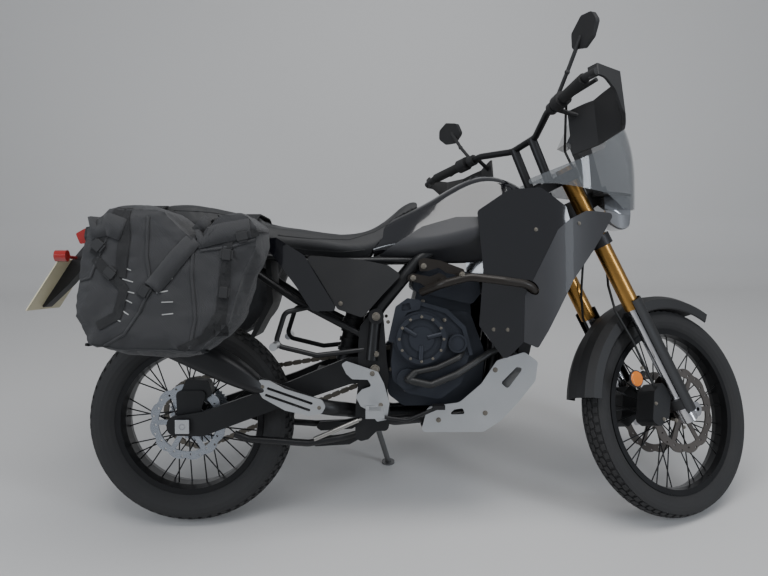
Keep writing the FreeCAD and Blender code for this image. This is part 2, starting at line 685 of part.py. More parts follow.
def chain_path(offset, margin=0.0):
    """The chain's outline at one distance from its pitch line, as a closed face."""
    a = V(0, CHAIN_Y, REAR_R)
    b = V(FRONT_SPROCKET_X, CHAIN_Y, FRONT_SPROCKET_Z)
    ra = REAR_PITCH_R + offset
    rb = FRONT_PITCH_R + offset
    along = (b - a)
    spread = math.asin((ra - rb) / along.Length)
    base = math.atan2(along.z, along.x)
    ends = []
    for sign in (1, -1):
        angle = base + sign * (math.pi / 2 - spread)
        n = V(math.cos(angle), 0, math.sin(angle))
        ends.append((a + n * ra, b + n * rb))
    back = a + V(-math.cos(base), 0, -math.sin(base)) * ra
    front = b + V(math.cos(base), 0, math.sin(base)) * rb
    edges = [
        Part.LineSegment(ends[0][0], ends[0][1]).toShape(),
        Part.Arc(ends[0][1], front, ends[1][1]).toShape(),
        Part.LineSegment(ends[1][1], ends[1][0]).toShape(),
        Part.Arc(ends[1][0], back, ends[0][0]).toShape(),
    ]
    width = CHAIN_W + 2 * margin
    face = Part.Face(Part.Wire(edges))
    body = face.extrude(V(0, width, 0))
    body.translate(V(0, -width / 2, 0))
    return body


def chain():
    """A narrow band with a pair of plates at every other pitch along it."""
    band = chain_path(CHAIN_H / 2 - 2.5).cut(chain_path(-CHAIN_H / 2 + 2.5))
    wings = [V(0, side * (CHAIN_CORE_W + CHAIN_W) / 4 + CHAIN_Y, 0) for side in (-1, 1)]
    sides = block((-200, 900), (CHAIN_Y - CHAIN_CORE_W / 2, CHAIN_Y + CHAIN_CORE_W / 2), (0, 700))
    loop = max(chain_path(0).Faces, key=lambda face: face.CenterOfMass.y).OuterWire
    links = int(round(loop.Length / CHAIN_PITCH / 2))
    pins = loop.discretize(Number=2 * links + 1)[:-1]
    plates = []
    half = CHAIN_H / 2
    for k in range(links):
        first, second = pins[2 * k], pins[2 * k + 1]
        middle = (first + second) * 0.5
        along = (second - first).normalize()
        upward = V(-along.z, 0, along.x)
        outline = [middle + along * u + upward * v for u, v in (
            (-half * 2, -half / 2), (-half * 1.5, -half), (half * 1.5, -half), (half * 2, -half / 2),
            (half * 2, half / 2), (half * 1.5, half), (-half * 1.5, half), (-half * 2, half / 2))]
        for wing in wings:
            thick = (CHAIN_W - CHAIN_CORE_W) / 2
            points = [V(q.x, wing.y - thick / 2, q.z) for q in outline]
            plates.append(Part.Face(Part.Wire(Part.makePolygon(points + points[:1]).Edges)).extrude(V(0, thick, 0)))
    return joined([band.common(sides)] + plates)


def rear_axle():
    reach = ARM_IN + ARM_T
    shaft = cylinder(REAR_AXLE + V(0, -reach - 16, 0), REAR_AXLE + V(0, reach + 16, 0), REAR_AXLE_R)
    nuts = [cylinder(REAR_AXLE + V(0, side * reach, 0), REAR_AXLE + V(0, side * (reach + 11), 0), 18)
            for side in (-1, 1)]
    return joined([shaft] + nuts).cut(cylinder(REAR_AXLE - V(0, 200, 0), REAR_AXLE + V(0, 200, 0), AXLE_BORE_R))


def rear_caliper():
    outline = [(-22, 420), (-6, 400), (56, 402), (84, 430), (72, 470), (2, 476)]
    body = side_plate(outline, -REAR_DISC_Y - 24, -REAR_DISC_Y + 20, 10)
    gap = DISC_T / 2 + CLEAR
    slot = cylinder(REAR_AXLE + V(0, -REAR_DISC_Y - gap, 0), REAR_AXLE + V(0, -REAR_DISC_Y + gap, 0),
                    REAR_DISC_R + CLEAR)
    hanger = side_plate([(-24, REAR_R - 18), (-30, 440), (70, 440), (26, REAR_R - 18)], -ARM_IN + 0.5,
                        -REAR_DISC_Y - 24, 16)
    axle = cylinder(REAR_AXLE + V(0, -200, 0), REAR_AXLE + V(0, 200, 0), REAR_AXLE_R)
    return joined([body.cut(slot), hanger]).cut(axle)


def rear_shock(swingarm_solid, frame_solid):
    top = V(566, 0, 846)
    low = V(500, 0, 470)
    along = (top - low).normalize()
    damper = cylinder(low + along * 22, top - along * 12, 18)
    coils = []
    span = (top - low).Length - 130
    for k in range(SHOCK_COILS):
        at = low + along * (60 + span * k / (SHOCK_COILS - 1))
        coils.append(cylinder(at - along * SHOCK_WIRE_R, at + along * SHOCK_WIRE_R, SHOCK_COIL_R))
    core = cylinder(low + along * 48, top - along * 58, SHOCK_COIL_R - SHOCK_WIRE_R)
    return without(joined([damper, core] + coils), swingarm_solid, frame_solid)


# Engine, exhaust and protection

def engine(frame_solid):
    """Crankcase, barrels, head and side covers as one casting, with the ribs and rings that show."""
    case = side_plate([(640, 470), (664, 620), (720, 690), (900, 690), (948, 560), (936, 440), (880, 394),
                       (690, 392), (640, 430)], -112, 112, 30)
    barrels = side_plate([(706, 640), (744, 800), (900, 776), (908, 640)], -100, 100, 12)
    head = side_plate([(716, 756), (726, 826), (766, 844), (926, 806), (934, 746), (906, 712)], -116, 116, 18)
    outer = COVER_Y
    cover_right = side_plate([(650, 537), (668, 690), (726, 716), (816, 694), (874, 640), (892, 560), (868, 470),
                              (801, 420), (700, 440), (654, 480)], -outer, -112, 34)
    rib = side_plate([(640, 600), (664, 708), (700, 734), (744, 728), (738, 700), (700, 690), (672, 648),
                      (664, 596)], -outer - 12, -outer, 8)
    window = side_plate([(682, 694), (684, 716), (706, 720), (712, 700)], -outer - 13, -outer - 4, 3)
    edge = side_plate([(740, 724), (824, 700), (880, 646), (902, 560), (892, 556), (868, 638), (816, 688),
                       (738, 712)], -outer - 8, -outer, 3)
    middle = V(742, -outer, 610)
    cover = [cylinder(middle, middle + V(0, -12, 0), CLUTCH_R + 8),
             ring(middle, middle + V(0, -CLUTCH_T, 0), CLUTCH_R, CLUTCH_R - 13),
             cylinder(middle, middle + V(0, -CLUTCH_T + 10, 0), CLUTCH_R - 13),
             cylinder(middle, middle + V(0, -CLUTCH_T + 4, 0), CLUTCH_R / 2)]
    for angle in (-92, 14, 148):
        t = math.radians(angle)
        along = V(math.cos(t), 0, math.sin(t))
        cover.append(cylinder(middle + along * 20 + V(0, -CLUTCH_T + 8, 0),
                              middle + along * (CLUTCH_R - 4) + V(0, -CLUTCH_T + 8, 0), 8))
    second = V(854, -outer, 595)
    small = [ring(second, second + V(0, -18, 0), 29, 23), cylinder(second, second + V(0, -14, 0), 25)]
    pump = V(700, -outer, 486)
    pump = [cylinder(pump, pump + V(0, -14, 0), 32)]
    cover_left = [cylinder(V(828, 112, 540), V(828, 150, 540), 86), cylinder(V(828, 112, 540), V(828, 164, 540), 66)]
    sprocket_cover = side_plate([(628, 480), (640, 574), (720, 590), (740, 470), (700, 450)], CHAIN_Y + 16, 150, 20)
    chain_room = chain_path(CHAIN_H / 2 + 4, 3)
    body = joined([case, barrels, head, cover_right, rib.cut(window), edge, sprocket_cover] + cover + small + pump +
                  cover_left)
    return without(body, chain_room, frame_solid)


def coolant_hoses(*neighbours):
    """Two hoses from the pump below the clutch cover, forward to the radiator and the front of the engine."""
    lower = pipe([(700, -COVER_Y, 486), (700, -192, 486), (770, -192, 470), (850, -178, 500), (960, -130, 560),
                  (1064, -118, 600)], HOSE_R, 18)
    upper = pipe([(722, -186, 508), (790, -186, 522), (858, -176, 552), (880, -140, 576)], HOSE_R - 2, 18)
    union = cylinder(V(700, -192, 486), V(724, -186, 509), HOSE_R)
    return without(joined([lower, union, upper]), *neighbours)


def radiator():
    core = side_plate([(1046, 556), (1082, 552), (1142, 806), (1106, 812)], -RADIATOR_Y, RADIATOR_Y, 6)
    slots = []
    for k in range(FIN_SLOTS):
        z = 582 + k * (790 - 582) / (FIN_SLOTS - 1)
        x = 1082 + (z - 552) * 60 / 254
        slots.append(block((x - 8, x + 30), (-RADIATOR_Y + 22, RADIATOR_Y - 22), (z - 3, z + 3)))
    pegs = [cylinder(V(1010, side * 80, 700), V(1096, side * 80, 700), 9) for side in (-1, 1)]
    return joined([core.cut(slots)] + pegs)


def exhaust(*neighbours):
    pipes = []
    for side in (-1, 1):
        pipes.append(pipe([(925, side * 44, 770), (985, side * 46, 752), (1004, side * 50, 560),
                           (970, side * 40, 354), (840, side * 22, 352)], 18, 55))
    collector = cylinder(V(866, 0, 352), V(700, -30, 352), 25)
    link = pipe([(705, -30, 352), (600, -50, 356), (506, -84, 376), (470, -160, 394), (420, -178, 406),
                 (250, -178, 470), (180, -182, 500)], 23, 50)
    wires = []
    for x, z, half_h, half_w in ((262, 470, 30, 26), (210, 500, 56, 42), (80, 556, 66, 48), (-110, 640, 62, 46)):
        wires.append(rounded([V(x - 0.42 * h, -188 + w, z + 0.9 * h) for w, h in
                              ((-half_w, -half_h), (half_w, -half_h), (half_w, half_h), (-half_w, half_h))],
                             0.8 * half_w))
    can = Part.makeLoft(wires, True, False)
    return without(joined(pipes + [collector, link, can]), *neighbours)


def exhaust_shield():
    outline = [(240, 474), (254, 492), (282, 488), (330, 462), (440, 430), (452, 410), (440, 388), (400, 382),
               (330, 398), (262, 436)]
    plate = side_plate(outline, -214, -206, 14)
    slots = []
    for a, b in (((276, 466), (412, 418)), ((270, 446), (405, 398))):
        along = V(b[0] - a[0], 0, b[1] - a[1]).normalize()
        n = V(-along.z, 0, along.x)
        points = [(a[0] + n.x * 4, a[1] + n.z * 4), (b[0] + n.x * 4, b[1] + n.z * 4),
                  (b[0] - n.x * 4, b[1] - n.z * 4), (a[0] - n.x * 4, a[1] - n.z * 4)]
        slots.append(side_plate(points, -216, -204, 3))
    posts = [cylinder(V(x, -190, z), V(x, -207, z), 7) for x, z in ((262, 470), (432, 406))]
    return joined([plate.cut(slots)] + posts)


def skid_plate():
    """A pressed alloy tray under the engine: a bottom, a raised nose and two side walls."""
    outline = [(742, 318), (764, 398), (862, 410), (930, 468), (978, 540), (1064, 566), (1106, 536), (1098, 476),
               (1040, 404), (990, 352), (936, 318)]
    body = side_plate(outline, -158, 158, [12, 20, 40, 40, 20, 14, 14, 30, 30, 30, 20])
    hollow = side_plate([(700, 318 + SKIN_T), (700, 620), (1080, 620), (1092, 540), (1086, 482), (1030, 412),
                         (982, 358), (930, 318 + SKIN_T)], -158 + SKIN_T, 158 - SKIN_T, 10)
    hole = side_plate([(828, 372), (880, 374), (872, 392), (846, 388)], -200, 200, 5)
    slot = side_plate([(990, 470), (1040, 520), (1060, 516), (1012, 452)], -200, 200, 8)
    return body.cut([hollow, hole, slot])


def crash_bar_route(side):
    return [(744, side * 176, 752), (800, side * 232, 778), (880, side * 252, 800), (980, side * 252, 788),
            (1078, side * 236, 774), (1096, side * 178, 700), (1040, side * 160, 600), (970, side * 118, 486)]


def crash_bars():
    bars = []
    for side in (-1, 1):
        main = pipe(crash_bar_route(side), CRASH_BAR_R, 60)
        y0, y1 = sorted((side * 158, side * 168))
        upper = side_plate([(738, 816), (734, 850), (750, 858), (800, 850), (876, 822), (872, 800), (820, 812),
                            (796, 828), (764, 818)], y0, y1, 6)
        lower = side_plate([(704, 786), (700, 802), (716, 810), (770, 800), (800, 812), (820, 800), (822, 776),
                            (800, 762), (764, 764), (740, 780)], y0, y1, 8)
        posts = [cylinder(V(x, side * 96, z), V(x, side * 160, z), 7) for x, z in ((750, 827), (716, 796))]
        reach = [cylinder(V(806, side * 160, 786), V(806, side * 228, 786), 11),
                 cylinder(V(858, side * 160, 804), V(858, side * 242, 798), 8)]
        bars.append(joined([main, upper, lower] + reach + posts))
    return bars


# Tank, seats and body panels

TANK_STATIONS = (
    (596, ((70, 852), (112, 880), (58, 934))),
    (700, ((84, 852), (150, 890), (80, 1004))),
    (800, ((90, 850), (172, 900), (104, 1056))),
    (910, ((96, 850), (180, 930), (118, 1110))),
    (1010, ((96, 868), (178, 960), (112, 1108))),
    (1110, ((80, 930), (140, 985), (76, 1062))),
)


def tank_form(grow=0.0):
    stations = []
    for x, corners in TANK_STATIONS:
        (yb, zb), (ym, zm), (yt, zt) = corners
        stations.append((x, ((yb + grow, zb - grow), (ym + grow, zm), (yt + grow, zt + grow))))
    return loft_along_x(stations, 42)


def fork_room():
    """What the upper clamp and the tubes need at both steering stops."""
    room = []
    for side in (-1, 1):
        for sense in (-1, 1):
            spin = FreeCAD.Placement(V(), FreeCAD.Rotation(STEER_AXIS, sense * STEER_AT_REST), STEER_POINT)
            for half, radius in ((CLAMP_T / 2 + CLEAR, TUBE_R + 10 + CLEAR), (90, TUBE_R + CLEAR)):
                eye = cylinder(fork_point(UPPER_CLAMP_S - half, LEG_OFFSET, side * LEG_Y),
                               fork_point(UPPER_CLAMP_S + half, LEG_OFFSET, side * LEG_Y), radius)
                room.append(posed(eye, spin))
    half = CLAMP_T / 2 + CLEAR
    room.append(cylinder(fork_point(UPPER_CLAMP_S - half, 0, 0), fork_point(UPPER_CLAMP_S + half, 0, 0),
                         CLAMP_SWING_R + CLEAR))
    return room


def fuel_tank(frame_solid):
    """The tank, scalloped in front where the fork clamp swings."""
    neck = cylinder(V(CAP.x, 0, CAP.z - 30), CAP, CAP_R + 6)
    return without(joined([tank_form(), neck]), frame_solid, *fork_room())


def knee_panels(tank, frame_solid):
    outline = [(572, 836), (660, 900), (748, 956), (850, 984), (974, 984), (962, 900), (944, 822), (880, 818),
               (739, 842), (660, 818)]
    blank = side_plate(outline, -260, 260, 16)
    middle = block((500, 1100), (-104, 104), (700, 1200))
    skin = blank.common(tank_form(KNEE_T)).cut([tank, frame_solid, middle])
    return group(sorted(skin.Solids, key=lambda solid: -solid.Volume)[:2])


def rider_seat(*neighbours):
    form = loft_along_x((
        (256, ((120, 908), (138, 930), (116, 972))),
        (350, ((118, 872), (150, 905), (120, 952))),
        (455, ((112, 862), (150, 896), (112, 936))),
        (560, ((100, 858), (128, 890), (88, 940))),
        (650, ((70, 900), (100, 925), (62, 992))),
        (744, ((56, 960), (80, 985), (48, 1044))),
    ), 26)
    return without(form, *neighbours)


def pillion_seat(*neighbours):
    form = loft_along_x((
        (-96, ((92, 940), (108, 968), (84, 1016))),
        (0, ((110, 930), (132, 968), (104, 1026))),
        (130, ((114, 912), (140, 955), (112, 1008))),
        (250, ((110, 892), (136, 925), (112, 982))),
    ), 26)
    return without(form, *neighbours)


def side_panels(*neighbours):
    gloss = side_plate([(252, 914), (300, 850), (360, 770), (407, 696), (489, 694), (430, 790), (384, 866),
                        (300, 920)], -176, -168, 12)
    matte = side_plate([(384, 866), (430, 794), (486, 700), (562, 674), (620, 740), (682, 806), (640, 836),
                        (560, 852), (450, 862)], -168, -160, 12)
    gloss = joined([gloss, cylinder(V(425, -110, 700), V(425, -170, 700), 8)])
    matte = joined([matte, cylinder(V(660, -128, 758), V(660, -162, 758), 8)])
    return [without(group([piece, mirrored(piece)]), *neighbours) for piece in (gloss, matte)]


PLAN_LINE = ((880, 176), (960, 204), (1060, 232), (1150, 232), (1250, 196), (1330, 140), (1376, 96))


def panel_strip(z0, z1, outward=0.0):
    """The curved wall that the front panels are cut from, or a band outside it, seen from above."""
    inset = V(0.5, SKIN_T + 1, 0) if outward == 0 else V(0, -outward, 0)
    line = [V(x, y, z0) for x, y in PLAN_LINE]
    outer = Part.BSplineCurve()
    outer.interpolate(line)
    inner = Part.BSplineCurve()
    inner.interpolate([p - inset for p in line])
    edges = [outer.toShape(), Part.LineSegment(line[-1], line[-1] - inset).toShape(),
             inner.toShape(), Part.LineSegment(line[0] - inset, line[0]).toShape()]
    wall = Part.Face(Part.Wire(edges)).extrude(V(0, 0, z1 - z0))
    return wall


def front_panels(*neighbours):
    wall = panel_strip(520, 1120)
    seam = [(1046, 604), (1048, 742), (1146, 940), (1184, 972)]
    beside = [(x + SEAM, z) for x, z in reversed(seam)]
    gloss = side_plate([(912, 1000), (930, 820), (918, 650), (993, 547)] + seam +
                       [(1172, 1010), (1093, 1066), (1000, 1060)], 100, 300,
                       [14, 14, 14, 14, 0, 0, 0, 0, 8, 20, 20])
    matte = side_plate(beside + [(1088, 586), (1120, 640), (1199, 792), (1268, 879), (1355, 998), (1243, 1000)],
                       60, 300, [0, 0, 0, 0, 8, 40, 60, 60, 10, 20])
    peg = cylinder(V(1117, RADIATOR_Y, 780), V(1117, PLAN_LINE[2][1] + 20, 780), 8)
    outside = panel_strip(520, 1120, 60)
    result = []
    for blank, post in ((gloss, []), (matte, [peg.cut(outside)])):
        skin = joined([wall.common(blank)] + post)
        result.append(without(group([skin, mirrored(skin)]), *neighbours))
    return result


def nacelle(*neighbours):
    """The carrier behind the screen: a stay from the steering head, a deck and the dash tower."""
    stay = [fork_point(1070, HEAD_R - 2, -12), fork_point(1140, HEAD_R - 2, -12), fork_point(1132, 200, -12),
            fork_point(1092, 190, -12)]
    stay = Part.Face(rounded(stay, 0)).extrude(V(0, 24, 0))
    deck = screen_form(SKIN_T).common(block((1316, 1436), (-200, 200), (1060, 1068)))
    tower = side_plate([(1320, 1064), (1352, 1064), (1304, 1236), (1262, 1262), (1250, 1240), (1266, 1204)],
                       -30, 30, 6)
    return without(joined([stay, deck, tower]), *neighbours)


def headlight():
    return loft_along_x((
        (1342, ((48, 988), (68, 1018), (58, 1064))),
        (1376, ((50, 962), (70, 1008), (60, 1064))),
        (1412, ((42, 952), (58, 1000), (50, 1062))),
        (1434, ((36, 962), (46, 1000), (40, 1054))),
    ), 14)


def screen_form(shrink):
    wires = []
    for z, front, half in ((985, 1462, 128), (1100, 1462, 134), (1240, 1444, 132), (1370, 1374, 112)):
        back = 1060.0
        points = [V(back, half - shrink, z), V(1250, half + 20 - shrink, z), V(front - 70, 0.62 * half - shrink, z),
                  V(front - shrink, 0, z), V(front - 70, shrink - 0.62 * half, z), V(1250, shrink - half - 20, z),
                  V(back, shrink - half, z)]
        curve = Part.BSplineCurve()
        curve.interpolate(points)
        wires.append(Part.Wire([curve.toShape(), Part.LineSegment(points[-1], points[0]).toShape()]))
    return Part.makeLoft(wires, True, False)


def windscreen(*neighbours):
    shell = screen_form(0).cut(screen_form(SKIN_T))
    outline = [(1078, 1088), (1082, 1104), (1233, 1163), (1320, 1201), (1338, 1240), (1352, 1320), (1366, 1366),
               (1480, 1366), (1480, 1020), (1400, 1018), (1334, 1062), (1162, 1088)]
    blank = side_plate(outline, -200, 200, 8)
    return without(shell.common(blank), *neighbours)


def display():
    plate = block((-14, 14), (-62, 62), (-62, 62))
    plate.rotate(V(0, 0, 0), V(0, 1, 0), 24)
    plate.translate(V(1258, 0, 1282))
    return plate


# Tail, luggage and small parts

def tail_unit(*neighbours):
    body = loft_along_x((
        (-330, ((40, 905), (60, 930), (44, 962))),
        (-200, ((60, 880), (92, 918), (70, 962))),
        (-60, ((84, 872), (112, 910), (96, 938))),
        (120, ((84, 850), (112, 880), (100, 908))),
    ), 14)
    arm = [(-320, 930), (-286, 900)] + [plate_point(*at) for at in ((70, 34), (176, 8), (176, 0), (0, 0))]
    arm = side_plate(arm, -26, 26, 4)
    under = side_plate([(216, 604), (276, 716), (268, 872), (252, 872), (258, 720), (204, 612)], -84, 84, 6)
    return [without(joined([body, arm]), *neighbours), without(under, *neighbours)]


def plate_point(down, ahead):
    """A point in the side view by its distance down the number plate and ahead of its back."""
    tilt = math.radians(PLATE_TILT)
    return (PLATE_TOP.x - down * math.sin(tilt) + ahead * math.cos(tilt),
            PLATE_TOP.z - down * math.cos(tilt) - ahead * math.sin(tilt))


def number_plate():
    outline = [plate_point(*at) for at in ((-4, 0), (NUMBER_PLATE_H, 0), (NUMBER_PLATE_H, -NUMBER_PLATE_T),
                                           (-4, -NUMBER_PLATE_T))]
    return side_plate(outline, -NUMBER_PLATE_W / 2, NUMBER_PLATE_W / 2)


def rear_lamps():
    lamp = side_plate([(-352, 906), (-366, 940), (-330, 960), (-322, 912)], -38, 38, 6)
    pieces = [lamp]
    for side in (-1, 1):
        stalk = cylinder(V(-372, side * 20, 862), V(-372, side * 120, 866), 6)
        lens = cylinder(V(-392, side * 120, 866), V(-356, side * 120, 866), 18)
        pieces.append(joined([stalk, lens]))
    return pieces


def pannier(side):
    outline = [(-112, 1000), (-178, 940), (-206, 773), (-208, 690), (-170, 604), (-60, 586), (130, 576),
               (228, 670), (262, 800), (304, 880), (304, 944), (262, 984), (196, 976), (125, 915), (40, 996)]
    bag = side_plate(outline, 0, PANNIER_DEEP, 26)
    bag.translate(V(0, PANNIER_IN, 0))
    return bag if side > 0 else mirrored(bag)


def pannier_straps():
    """Two webbing straps over the seat and the tail, which carry the bags."""
    straps = []
    for x, top in ((-96, 1024), (196, 998)):
        over = [(-PANNIER_IN, top - 50), (-122, top - 6), (-96, top), (96, top), (122, top - 6), (PANNIER_IN, top - 50)]
        line = over + [(y, z - STRAP_T) for y, z in reversed(over)]
        face = Part.Face(Part.makePolygon([V(x, y, z) for y, z in line + line[:1]]))
        straps.append(face.extrude(V(STRAP_W, 0, 0)))
    return straps


def fuel_cap():
    """The hinged lid of the filler, seated just over the tank's top."""
    lid = cylinder(CAP + V(0, 0, SEAT_GAP), CAP + V(0, 0, CAP_T), CAP_R)
    ear = block((CAP.x + CAP_R - 8, CAP_HINGE.x), (-9, 9), (CAP.z + SEAT_GAP, CAP.z + CAP_T))
    barrel = cylinder(CAP_HINGE - V(0, 9, 0), CAP_HINGE + V(0, 9, 0), CAP_T / 2)
    return joined([lid, ear, barrel])


def heel_plates():
    plates = []
    outline = [(497, 530), (512, 540), (582, 516), (610, 506), (628, 470), (645, 409), (637, 358), (606, 352),
               (586, 384), (556, 400), (540, 430), (560, 452), (590, 462), (578, 482), (530, 484), (512, 500)]
    for side in (-1, 1):
        y0, y1 = sorted((side * HEEL_Y, side * (HEEL_Y + HEEL_T)))
        plates.append(side_plate(outline, y0, y1, 6))
        inner = side * (PLATE_Y + PLATE_T / 2)
        posts = [cylinder(V(x, inner, z), V(x, side * (HEEL_Y + 1), z), 9) for x, z in ((604, 480), (618, 400))]
        plates[-1] = joined([plates[-1]] + posts)
    return plates


def footpegs():
    pegs = []
    for side in (-1, 1):
        outer = HEEL_Y + HEEL_T
        tray = block((572, 628), (outer + 6, outer + 90), (380, 402))
        tray = tray.cut(block((582, 618), (outer + 18, outer + 80), (370, 410)))
        tray = tray if side > 0 else mirrored(tray)
        pin = cylinder(V(606, side * outer, 392), V(606, side * (outer + 10), 392), 10)
        pegs.append(joined([tray, pin]))
        bar = cylinder(V(296, side * 140, 590), V(296, side * 226, 590), 12)
        pegs.append(bar)
    return pegs


def foot_levers():
    brake = pipe([(616, -164, 368), (700, -182, 360), (790, -190, 400)], 6, 30)
    tip = block((776, 812), (-214, -176), (398, 410))
    gear = pipe([(616, 164, 430), (700, 178, 420), (770, 186, 440)], 6, 30)
    peg = cylinder(V(770, 180, 440), V(770, 216, 440), 9)
    return [joined([brake, tip]), joined([gear, peg])]


# Stands

def stand_place():
    """The machine's rest placement: lean, then the small pitch that puts both tyres down."""
    pitch = 0.0
    lift = 0.0
    steer = FreeCAD.Placement(V(), FreeCAD.Rotation(STEER_AXIS, STEER_AT_REST), STEER_POINT)
    wheels = (
        (REAR_AXLE, V(0, 1, 0), REAR_R - CROWN_REAR, CROWN_REAR),
        (steer.multVec(FRONT_AXLE), steer.Rotation.multVec(V(0, 1, 0)), FRONT_R - CROWN_FRONT, CROWN_FRONT),
    )
    for _ in range(6):
        turn = FreeCAD.Rotation(V(1, 0, 0), -LEAN).multiply(FreeCAD.Rotation(V(0, 1, 0), pitch))
        lows = []
        for centre, axis, hoop, tube in wheels:
            u = turn.multVec(axis)
            lows.append(turn.multVec(centre).z - hoop * math.sqrt(1 - u.z ** 2) - tube)
        pitch += math.degrees((lows[1] - lows[0]) / WHEELBASE)
        lift = -lows[0]
    return FreeCAD.Placement(V(0, 0, lift), turn)


def crown_radius(radius, width):
    """Radius of the arc across a tyre's tread, from its shoulders and its top."""
    half = 0.86 * width / 2
    drop = 0.30 * width / 2
    return (half ** 2 + drop ** 2) / (2 * drop)


CROWN_FRONT = crown_radius(FRONT_R, FRONT_TYRE_W)
CROWN_REAR = crown_radius(REAR_R, REAR_TYRE_W)
REST = stand_place()


def side_stand():
    """A leg from its pivot under the frame to a foot that lies flat on the floor."""
    floor = REST.multVec(V(SIDE_FOOT_X, SIDE_FOOT_REACH, 0))
    ground = REST.inverse().multVec(V(floor.x, SIDE_FOOT_REACH, 0))
    up = REST.inverse().Rotation.multVec(V(0, 0, 1))
    foot = cylinder(ground, ground + up * FOOT_T, FOOT_R)
    ankle = ground + up * FOOT_T
    middle = SIDE_SEAT + SIDE_FOLD_AXIS * (SIDE_EYE_T / 2)
    knee = middle + (ankle - middle) * 0.22
    leg = cylinder(knee, ankle + (ankle - knee).normalize() * 2, 10)
    stump = cylinder(middle, knee, 13)
    eye = cylinder(SIDE_SEAT, SIDE_SEAT + SIDE_FOLD_AXIS * SIDE_EYE_T, SIDE_EYE_R)
    inner = cylinder(SIDE_SEAT - SIDE_FOLD_AXIS * 60, SIDE_SEAT, 60)
    outer = cylinder(SIDE_SEAT + SIDE_FOLD_AXIS * SIDE_EYE_T, SIDE_SEAT + SIDE_FOLD_AXIS * 60, SIDE_EYE_R)
    trim = cylinder(ground - up * 60, ground, 80)
    pin = cylinder(SIDE_SEAT - SIDE_FOLD_AXIS * 30, SIDE_SEAT + SIDE_FOLD_AXIS * 60, STAND_PIN_R + RUN_GAP)
    return without(joined([eye, stump, leg, foot]), trim, inner, outer, pin)


def centre_stand():
    foot_x = CENTRE_PIVOT.x - CENTRE_LEG
    pieces = []
    for side in (-1, 1):
        pieces.append(pipe([(CENTRE_AXIS.x, side * 104, CENTRE_AXIS.z),
                            (CENTRE_AXIS.x - 60, side * 110, 292), (392, side * CENTRE_Y, 282),
                            (foot_x, side * CENTRE_Y, 296)], 11, 40))
        pieces.append(cylinder(V(foot_x, side * CENTRE_Y, 296), V(foot_x - 44, side * CENTRE_Y, 312), 11))
        cheek = [(566, 318), (573, 302), (556, 290), (520, 270), (412, 264), (396, 276), (408, 294), (500, 302)]
        y0, y1 = sorted((side * 106, side * 113))
        pieces.append(side_plate(cheek, y0, y1, 6))
    reach = PLATE_Y - PLATE_T / 2 - 1
    pieces.append(cylinder(CENTRE_AXIS - V(0, reach, 0), CENTRE_AXIS + V(0, reach, 0), 13))
    pin = cylinder(CENTRE_AXIS - V(0, 200, 0), CENTRE_AXIS + V(0, 200, 0), STAND_PIN_R + RUN_GAP)
    return joined(pieces).cut(pin)


def stand_spring():
    coil = cylinder(V(548, -150, 354), V(412, -164, 299), 7)
    hook = cylinder(V(556, -PLATE_Y, 357), V(556, -150, 357), 4)
    bend = cylinder(V(556, -150, 357), V(540, -150.8, 351), 4)
    return joined([coil, bend, hook])


